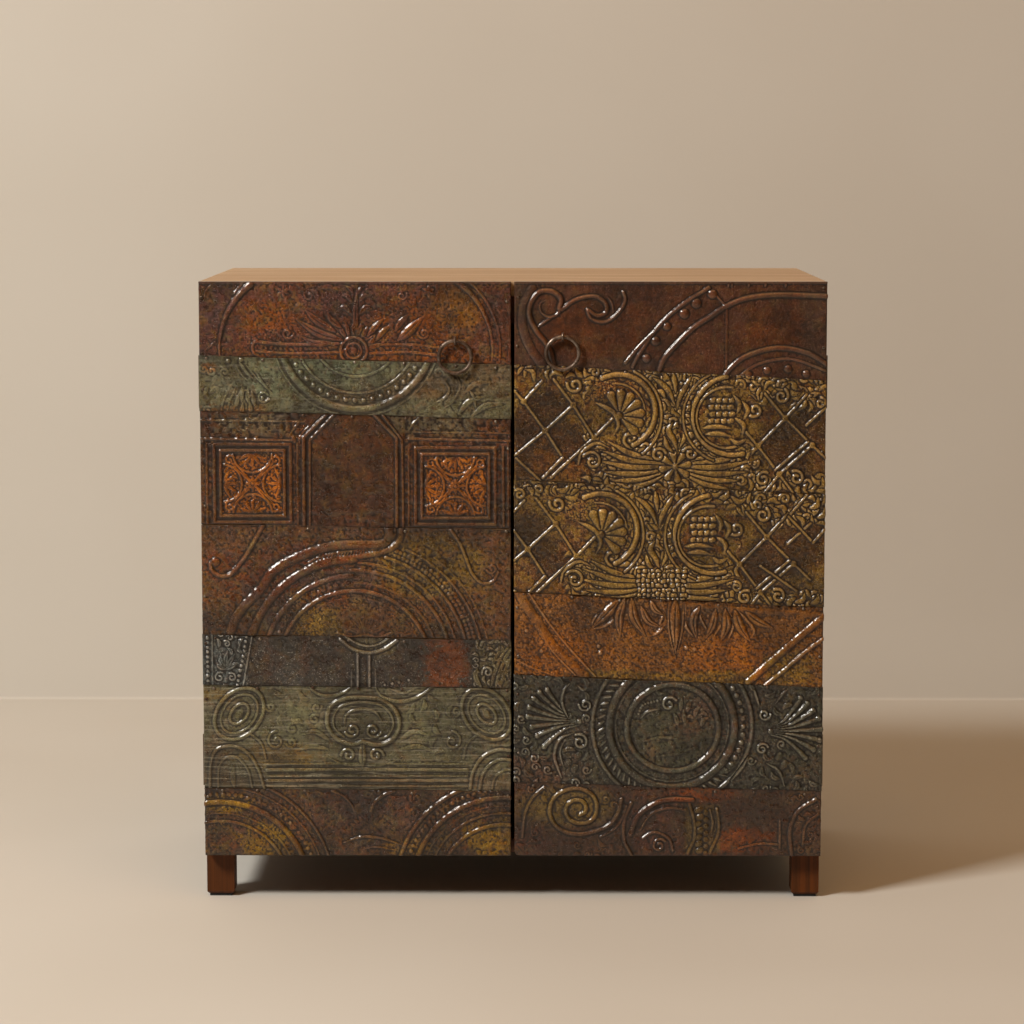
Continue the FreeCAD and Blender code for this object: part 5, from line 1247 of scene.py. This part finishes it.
tin.cut = 0
tin.foliage(452, 572, 560, 742, 15, 1.8, 0.75)
tin.foliage(800, 588, 900, 742, 15, 1.8, 0.75)
tin.foliage(640, 600, 735, 632, 11, 1.2, 0.6)
tin.rough(0.8, (452, 570, 900, 742, 10))
tin.stain(0, (497, 645, 46, 50), (870, 650, 40, 50))
tin.stain(1, (690, 660, 60, 50))
tin.stain(2, tin.inside(680, 600, 810, 700, 20) * 0.6, (452, 690, 520, 742, 10))
# Stronger pale crests and glints, standing for rubbed metal and painted highlights.
blue_tin = old_tin("blue-green painted tin, nearly black", "#393a2f", "#2e2921", "#120f0a", "#b3b2a2",
                   [("#4a4b3c", 0.6), ("#484833", 0.7), ("#4c2f22", 0.7)], rough=0.33, wear_and_highlight=0.65,
                   tinted=0.45)
tin.finish(blue_tin)

# Right door, sixth strip: brown and rust, a great spiral in an outer curl, an arch over a small
# scroll, and gold left on the spiral's ground. Its inner corner was snipped round with the door's.
tin = Sheet("right", 6, lap=0.2)
tin.press((6.5, 2.7, (609, 754), (603, 776), (591, 792), (572, 801), (550, 806), (528, 803), (511, 791),
           (504, 772), (510, 752), (526, 741), (546, 738), (563, 745), (572, 758), (572, 774),
           (564, 786), (550, 790), (536, 786), (528, 776), (529, 764), (538, 756), (550, 756),
           (557, 764), (555, 773), (548, 777)),
          (3.4, 1.5, (616, 764), (608, 786), (596, 800), (578, 810)),
          (4.6, 2.1, (496, 736), (479, 752), (468, 776), (464, 810)),
          (8, 2.8, (622, 806), (633, 779), (658, 760), (682, 754), (712, 755)),
          (4, 1.7, (636, 800), (652, 776), (678, 767), (702, 770)),
          (5.5, 2.1, (623, 760), (613, 786), (613, 814), (624, 838)),
          (5, 2.1, (708, 760), (715, 786), (716, 810), (706, 834)),
          (3.4, 1.7, (738, 770), (742, 788), (740, 802)), (4.4, 1.9, (748, 768), (751, 800), (738, 834)),
          (4.6, 2.0, (640, 812), (656, 803), (678, 812), (684, 830)),
          (3.6, 1.6, (780, 827), (810, 820), (837, 821)), (4, 1.8, (840, 786), (840, 826)),
          (6, 2.1, (892, 754), (866, 772), (855, 800), (858, 838)),
          (4, 1.5, (896, 776), (878, 792), (874, 820)), (4.2, 2.0, curl(664, 823, 11, 3, 40, 430)))
for y in range(770, 832, 10):
    tin.dome(722 + 2 * math.sin(y), y, 5, 2.2, 1.3, 30)
    tin.dome(732, y + 4, 4, 1.7)
tin.foliage(466, 742, 612, 836, 13, 1.2, 0.45)
tin.foliage(860, 752, 900, 836, 12, 1.4, 0.7)
tin.rough(0.6, (452, 728, 900, 840, 10))
tin.stain(0, (780, 815, 50, 20), (720, 745, 50, 14))
tin.stain(1, (530, 765, 80, 32), tin.inside(700, 760, 755, 836, 6) * 0.8)
tin.stain(2, (610, 742, 700, 838, 20), (480, 815, 40, 20))
brown_tin = old_tin("brown painted tin, rusting", "#4b2f20", "#3a271b", "#1a100a", "#a08a70",
                    [("#7a3c16", 0.8), ("#6e5c32", 0.75), ("#4c2a22", 0.6)], tinted=0.4)
tin.finish(brown_tin, 0.8)

# Folds: the sheet at the head and at the foot of each door is turned back over the core's edge.
# Each is a flat lip of the same tin, 13.6 mm deep, its ends tucked under the folds of the sides.
for side in ("left", "right"):
    last = 7 if side == "left" else 6
    low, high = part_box(f"{side}_door_core")
    inset = 7.0 if side == "right" else 0.6
    for number, sheet, base in ((1, maroon_tin if side == "left" else red_tin, high.z + 0.1 * MM),
                                (last, gilt_brown_tin if side == "left" else brown_tin, low.z - 0.8 * MM)):
        build = bmesh.new()
        bmesh.ops.create_cube(build, size=1.0)
        start = low.x + (inset if number == last else 0.6) * MM
        size = Vector((high.x - 0.6 * MM - start, 13.6 * MM, SHEET * MM))
        middle = Vector(((start + high.x - 0.6 * MM) / 2, low.y - 0.6 * MM + size.y / 2, base + size.z / 2))
        for corner in build.verts:
            corner.co = Vector(c * s for c, s in zip(corner.co, size)) + middle
        bmesh.ops.bevel(build, geom=build.edges[:], offset=0.25 * MM, segments=2, affect="EDGES",
                        profile=0.5)
        node = f"{side}_tin_strip_{number}"
        ready(f"{node}_fold", meshed(build, "fold"), sheet, f"{side}_door", slot_of[node])


def settled(piece, smooth_angle=None):
    """Smooth shading with sharp edges above an angle."""
    piece.data.shade_smooth()
    if smooth_angle is not None:
        piece.data.set_sharp_from_angle(angle=math.radians(smooth_angle))
    return piece


def metal(name, base, worn, rough, metallic, rust=None, hammer_mm=0.0):
    """Iron or steel. Worn patches are brighter, rust is dull and brown, and forging leaves dents."""
    material, tree, shader, where = blank(name)
    patches = noise(tree, where, 14, 5, 0.65, 0.4)
    grit = noise(tree, where, 1.2, 4, 0.6)
    colour = mixed(tree, ramp(tree, patches, 0.38, 0.66), base, worn)
    gloss = ramp(tree, grit, 0.3, 0.7, rough - 0.07, rough + 0.12)
    shader.inputs["Metallic"].default_value = metallic
    if rust:
        share = maths(tree, ramp(tree, patches, 0.62, 0.5), ramp(tree, grit, 0.42, 0.62))
        colour = mixed(tree, maths(tree, share, 0.8), colour, rust)
        gloss = maths(tree, gloss, maths(tree, share, 0.3), "ADD")
        tree.links.new(ramp(tree, share, 0.2, 0.8, metallic, metallic * 0.3), shader.inputs["Metallic"])
    tree.links.new(colour, shader.inputs["Base Color"])
    tree.links.new(gloss, shader.inputs["Roughness"])
    hammered = maths(tree, noise(tree, where, 6, 2, 0.5), hammer_mm * 4)
    height = maths(tree, maths(tree, grit, 0.4), hammered, "ADD")
    tree.links.new(add(tree, "ShaderNodeBump", {"Height": height, "Strength": 0.5,
                                                "Distance": 0.0004}).outputs[0], shader.inputs["Normal"])
    return material


def swept(build, path, radii, sides, closed):
    """A round wire along a path, both in mm. Its thickness may change from point to point."""
    spots = [Vector(p) for p in path]
    count = len(spots)
    rings = []
    for i, spot in enumerate(spots):
        ahead = spots[(i + 1) % count] if closed or i < count - 1 else spot
        behind = spots[i - 1] if closed or i > 0 else spot
        run = (ahead - behind).normalized()
        across = run.cross(Vector((0, 0.31, 1)) if abs(run.y) > 0.9 else Vector((0.0, 1, 0))).normalized()
        up = across.cross(run).normalized()
        ring = []
        for k in range(sides):
            turn = 2 * math.pi * k / sides
            outward = math.cos(turn) * across + math.sin(turn) * up
            ring.append(build.verts.new((spot + float(radii[i]) * outward) * MM))
        rings.append(ring)
    for i in range(count if closed else count - 1):
        one, other = rings[i], rings[(i + 1) % count]
        for k in range(sides):
            m = (k + 1) % sides
            build.faces.new((one[k], one[m], other[m], other[k]))
    if not closed:
        build.faces.new(rings[0][::-1])
        build.faces.new(rings[-1])


def closed_mesh(build, name):
    """The mesh of a closed shape, its faces turned outward."""
    bmesh.ops.recalc_face_normals(build, faces=build.faces)
    return meshed(build, name)


# Ring pulls: forged black iron. The ring is a hammered wire whose thickness wanders a little, closed
# by a forge weld at its foot, and rubbed bright in patches. It hangs in a forged eye.
WIRE = 2.9           # half the thickness of a ring's wire
EYE = 4.9            # radius of the eye's own ring
forged = metal("forged black iron", "#463c33", "#94867a", 0.33, 0.9, "#543823", hammer_mm=0.3)
for side in ("left", "right"):
    low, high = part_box(f"{side}_ring")
    middle = (low + high) / 2 / MM
    radius = (high.x - low.x) / 2 / MM - WIRE
    chance = np.random.default_rng(40 + (side == "right"))
    turns = np.linspace(0, 2 * math.pi, 96, endpoint=False)
    waver = sum(chance.uniform(-0.05, 0.05) * np.sin(k * turns + chance.uniform(0, 6))
                for k in range(2, 12))
    # Drawn a little thin, so that the waver stays inside the CAD's wire. The weld is thinner still.
    thick = [WIRE - 0.15 + w - 0.12 * math.exp(-((t - 4.9) / 0.12) ** 2) for t, w in zip(turns, waver)]
    build = bmesh.new()
    swept(build, [(middle.x + radius * math.cos(t), middle.y, middle.z + radius * math.sin(t))
                  for t in turns], thick, 14, True)
    settled(ready(f"{side}_ring_forged", closed_mesh(build, "ring"), forged, f"{side}_ring",
                  slot_of[f"{side}_ring"], f"{side}_ring"))
    low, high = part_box(f"{side}_pull_eye")
    x, z, y = (low.x + high.x) / 2 / MM, high.z / MM - 6.5, middle.y
    build = bmesh.new()
    turns = np.linspace(0, 2 * math.pi, 36, endpoint=False)
    swept(build, [(x, y + EYE * math.cos(t), z + EYE * math.sin(t)) for t in turns], [1.62] * 36, 10, True)
    back = high.y / MM
    depths = (y + 4.6, y + 5.6, tin_plane - 0.4, tin_plane, back - 0.4, back)
    swept(build, [(x, depth, z) for depth in depths], [1.9, 2.15, 2.2, 2.2, 2.2, 1.8], 14, False)
    settled(ready(f"{side}_pull_eye_forged", closed_mesh(build, "eye"), forged, f"{side}_door",
                  slot_of[f"{side}_pull_eye"], f"{side}_pull_eye"), 50)
zinc = metal("zinc-plated steel", "#a9a9a4", "#c2c2bc", 0.32, 1.0)
for side in ("left", "right"):
    eased(f"{side}_pull_washer", 0.2, zinc)
    eased(f"{side}_pull_nut", 0.35, zinc)
    eased(f"{side}_strike_plate", 0.25, zinc)

# Hinges: four butt hinges of dark iron, browned with age. Each leaf is let into its wood and held
# by four countersunk slotted screws.
hinge_iron = metal("browned hinge iron", "#4a4034", "#6a5f4c", 0.42, 0.85, "#5c3c24")
for side in ("left", "right"):
    for level in ("upper", "lower"):
        eased(f"{side}_{level}_post_leaf", 0.25, hinge_iron)
        eased(f"{side}_{level}_door_leaf", 0.25, hinge_iron)
eased("hinge_pins", 0.3, hinge_iron)


def heads_at(name, spots, turn, head, material, seed, tilt=0.0, uneven=0.0):
    """Puts a small head at each spot in mm with Geometry Nodes, each turned, tilted and sized apart."""
    holder_mesh = bpy.data.meshes.new(f"{name}_spots")
    holder_mesh.from_pydata([Vector(spot) * MM for spot in spots], [], [])
    holder = placed(f"{name}_draft", holder_mesh)
    tree = bpy.data.node_groups.new(f"{name} on spots", "GeometryNodeTree")
    sockets = {}
    for label, kind in (("Spots", "Geometry"), ("Head", "Object"), ("Seed", "Int"), ("Facing", "Vector"),
                        ("Spin", "Float"), ("Tilt", "Float"), ("Unevenness", "Float")):
        sockets[label] = tree.interface.new_socket(label, in_out="INPUT", socket_type=f"NodeSocket{kind}")
    tree.interface.new_socket("Heads", in_out="OUTPUT", socket_type="NodeSocketGeometry")
    given = add(tree, "NodeGroupInput").outputs
    one_head = add(tree, "GeometryNodeObjectInfo", {"Object": given["Head"]})
    most = add(tree, "ShaderNodeCombineXYZ",
               {0: given["Tilt"], 1: given["Tilt"], 2: given["Spin"]}).outputs[0]
    least = add(tree, "ShaderNodeVectorMath", {0: most, "Scale": -1.0}, operation="SCALE").outputs[0]
    own_turn = add(tree, "FunctionNodeRandomValue", {0: least, 1: most, "Seed": given["Seed"]},
                   data_type="FLOAT_VECTOR")
    size = add(tree, "FunctionNodeRandomValue", {2: maths(tree, 1.0, given["Unevenness"], "SUBTRACT"),
                                                 3: maths(tree, 1.0, given["Unevenness"], "ADD"),
                                                 "Seed": maths(tree, given["Seed"], 1.0, "ADD")},
               data_type="FLOAT")
    heads = add(tree, "GeometryNodeInstanceOnPoints",
                {"Points": given["Spots"], "Instance": one_head.outputs["Geometry"],
                 "Rotation": given["Facing"], "Scale": size.outputs[1]})
    turned = add(tree, "GeometryNodeRotateInstances", {"Instances": heads.outputs[0],
                                                       "Rotation": own_turn.outputs[0]})
    real = add(tree, "GeometryNodeRealizeInstances", {"Geometry": turned.outputs[0]})
    painted = add(tree, "GeometryNodeSetMaterial", {"Geometry": real.outputs[0], "Material": material})
    add(tree, "NodeGroupOutput", {"Heads": painted.outputs[0]})
    modifier = holder.modifiers.new("heads", "NODES")
    modifier.node_group = tree
    for label, value in (("Head", head), ("Seed", seed), ("Facing", turn), ("Spin", 3.1), ("Tilt", tilt),
                         ("Unevenness", uneven)):
        modifier[sockets[label].identifier] = value
    return as_mesh(holder)


def lathe_head(name, profile, sides, slot_wide=0.0, slot_deep=0.0):
    """A turned head, its profile given as (radius, height) pairs in mm, with a slot if asked."""
    build = bmesh.new()
    turns = [2 * math.pi * k / sides for k in range(sides)]
    rings = [[build.verts.new(Vector((r * math.cos(t), r * math.sin(t), h)) * MM) for t in turns]
             for r, h in profile]
    for one, other in zip(rings, rings[1:]):
        for k in range(sides):
            build.faces.new((one[k], one[(k + 1) % sides], other[(k + 1) % sides], other[k]))
    build.faces.new(rings[0][::-1])
    build.faces.new(rings[-1])
    if slot_wide:
        for edge_x in (-slot_wide / 2, slot_wide / 2):
            bmesh.ops.bisect_plane(build, geom=build.verts[:] + build.edges[:] + build.faces[:],
                                   plane_co=Vector((edge_x * MM, 0, 0)), plane_no=Vector((1, 0, 0)))
        top = [f for f in build.faces if f.normal.z > 0.9
               and abs(f.calc_center_median().x) < slot_wide / 2 * MM
               and f.calc_center_median().z > (profile[-1][1] - 0.01) * MM]
        pushed = bmesh.ops.extrude_face_region(build, geom=top)
        bmesh.ops.delete(build, geom=top, context="FACES_ONLY")
        bmesh.ops.translate(build, vec=Vector((0, 0, -slot_deep * MM)),
                            verts=[v for v in pushed["geom"] if isinstance(v, bmesh.types.BMVert)])
    return placed(name, closed_mesh(build, name))


screw_head = lathe_head("screw_head", [(1.6, -1.2), (3.1, -0.05), (3.1, 0.12), (2.9, 0.2)], 16, 0.9, 0.7)
screw_steel = metal("blued screw steel", "#46443f", "#6a675f", 0.36, 0.95, "#54402c")
SCREWS = ((13, 10), (19, 29), (13, 47), (19, 66))  # of one leaf: away from the pin, and up from its foot
PIN = 450.5          # from the cabinet's middle to a hinge pin
for body, face_y, facing in (("cabinet", -220.9, math.pi / 2), ("left_door", -221.6, -math.pi / 2),
                             ("right_door", -221.6, -math.pi / 2)):
    spots = []
    for side, toward in (("left", 1), ("right", -1)):
        if body in ("cabinet", f"{side}_door"):
            for foot_z in (167, 722):
                spots += [(toward * (along - PIN), face_y, foot_z + up) for along, up in SCREWS]
    mesh = heads_at(f"{body}_hinge_screws", spots, (facing, 0, 0), screw_head, screw_steel, 5)
    settled(ready(f"{body}_hinge_screws", mesh, screw_steel, body, slot_of["hinge_pins"]), 30)
bpy.data.objects.remove(screw_head)

# Tacks: small domed iron tacks hold the tin along the seams and down the sides of each door. They
# are set by hand, so their spacing, tilt and size wander.
tack_head = lathe_head("tack_head", [(1.2, -0.8), (2.15, -0.1), (2.1, 0.45), (1.6, 1.0), (0.8, 1.3)], 10)
tack_iron = metal("tack iron", "#3a332c", "#8d8478", 0.35, 0.9, "#5a3a22")


def tack_spots(side):
    """Spots of the tacks of one door: along each seam, and down both sides, just inside the edge."""
    chance = np.random.default_rng(71 + (side == "right"))
    start, end = DOORS[side]
    spots = []
    for (x0, y0), (x1, y1) in SEAMS[side]:
        for x in np.arange(start + 16, end - 10, 69):
            at = x + chance.uniform(-12, 12)
            spots.append((at, y0 + (y1 - y0) * (at - x0) / (x1 - x0) + 4 + chance.uniform(-1.5, 1.5)))
    for edge in (start + 5, end - 5):
        for y in np.arange(18, 832, 74):
            spots.append((edge + chance.uniform(-1, 1), y + chance.uniform(-14, 14)))
    return spots


for side in ("left", "right"):
    spots = [(left_edge + x, tin_plane - 1.2, top_edge - y) for x, y in tack_spots(side)]
    mesh = heads_at(f"{side}_door_tacks", spots, (math.pi / 2, 0, 0), tack_head, tack_iron, 9, 0.12, 0.15)
    settled(ready(f"{side}_door_tacks", mesh, tack_iron, f"{side}_door", "dark_iron"), 60)
bpy.data.objects.remove(tack_head)

# Catches: two magnetic catches in brown plastic cases under the front rail. Pads: black rubber
# under the legs.
def plain(name, colour, dark, rough, grain_mm):
    """A moulded material: one colour that drifts a little, over a fine grain."""
    material, tree, shader, where = blank(name)
    tree.links.new(mixed(tree, ramp(tree, noise(tree, where, 18, 4), 0.3, 0.7), colour, dark),
                   shader.inputs["Base Color"])
    grain = noise(tree, where, grain_mm, 3)
    tree.links.new(ramp(tree, grain, 0.3, 0.7, rough - 0.05, rough + 0.1), shader.inputs["Roughness"])
    tree.links.new(add(tree, "ShaderNodeBump", {"Height": grain, "Strength": 0.3,
                                                "Distance": 0.0002}).outputs[0], shader.inputs["Normal"])
    shader.inputs["IOR"].default_value = 1.49
    return material


catch_plastic = plain("brown catch plastic", "#5b3b26", "#4d3120", 0.45, 0.8)
pad_rubber = plain("black pad rubber", "#1b1a19", "#262422", 0.8, 0.7)
for side in ("left", "right"):
    eased(f"{side}_catch", 0.7, catch_plastic)
eased("foot_pads", 0.8, pad_rubber)

# Floor and backdrop: one pale sheet of paper that lies under the cabinet and turns up behind it.
TURN_UP = 1.385      # in metres: where the paper turns up, and how narrow that turn is
ROUND = 0.006
build = bmesh.new()
profile = [(-3.2, 0.0), (TURN_UP, 0.0)]
profile += [(TURN_UP + ROUND * math.sin(t), ROUND - ROUND * math.cos(t))
            for t in np.linspace(0, math.pi / 2, 9)[1:]]
profile.append((1.41, 5.0))
rows = [[build.verts.new((x, y, z)) for x in (-7.0, 7.0)] for y, z in profile]
for one, other in zip(rows, rows[1:]):
    build.faces.new((one[0], one[1], other[1], other[0]))
mesh = meshed(build, "paper")
paper, tree, shader, where = blank("backdrop paper")
colour = mixed(tree, ramp(tree, noise(tree, where, 900, 2), 0.3, 0.7), "#cdcbc4", "#c9c6be")
tree.links.new(colour, shader.inputs["Base Color"])
shader.inputs["Roughness"].default_value = 0.9
# A camera behind the paper, or under it, looks through it.
unseen = maths(tree, add(tree, "ShaderNodeNewGeometry").outputs["Backfacing"],
               add(tree, "ShaderNodeLightPath").outputs["Is Camera Ray"])
clear = add(tree, "ShaderNodeBsdfTransparent").outputs[0]
either = add(tree, "ShaderNodeMixShader", {0: unseen, 1: shader.outputs[0], 2: clear}).outputs[0]
tree.links.new(either, tree.nodes["Material Output"].inputs["Surface"])
backdrop = placed("backdrop", mesh)
mesh.materials.append(paper)
settled(backdrop)
backdrop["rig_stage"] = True

# Light: one large soft lamp at the upper left, a weak warm fill, and warm light all round.
world = bpy.data.worlds.new("room")
bpy.context.scene.world = world
world.use_nodes = True
all_round = world.node_tree.nodes["Background"]
all_round.inputs["Color"].default_value = linear("#ffc488")
all_round.inputs["Strength"].default_value = 0.06


def lamp(name, spot, aim, size, watts, colour):
    """A square lamp at a spot, turned to what it is aimed at."""
    light = bpy.data.lights.new(name, "AREA")
    light.shape = "SQUARE"
    light.size = size
    light.energy = watts
    light.color = linear(colour)[:3]
    item = placed(name, light)
    item.location = spot
    item.rotation_euler = (Vector(aim) - Vector(spot)).to_track_quat("-Z", "Y").to_euler()


lamp("key", (-3.5, -3.1, 4.1), (0, 0, 0.5), 1.25, 316, "#fffaf2")
lamp("fill", (0.5, -2.5, 6.0), (0, 0.5, 0.0), 5.0, 116, "#ffbe7a")

# Camera: where the photograph was taken from, by its own perspective.
camera_data = bpy.data.cameras.new("camera")
camera_data.lens = 106.4
camera_data.sensor_width = 36.0
camera = placed("camera", camera_data)
camera.location = (0.024, -4.58, 1.091)
camera.rotation_euler = (math.radians(90 - 6.81), 0, math.radians(0.33))
bpy.context.scene.camera = camera
bpy.context.scene.view_settings.view_transform = "Standard"

low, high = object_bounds()
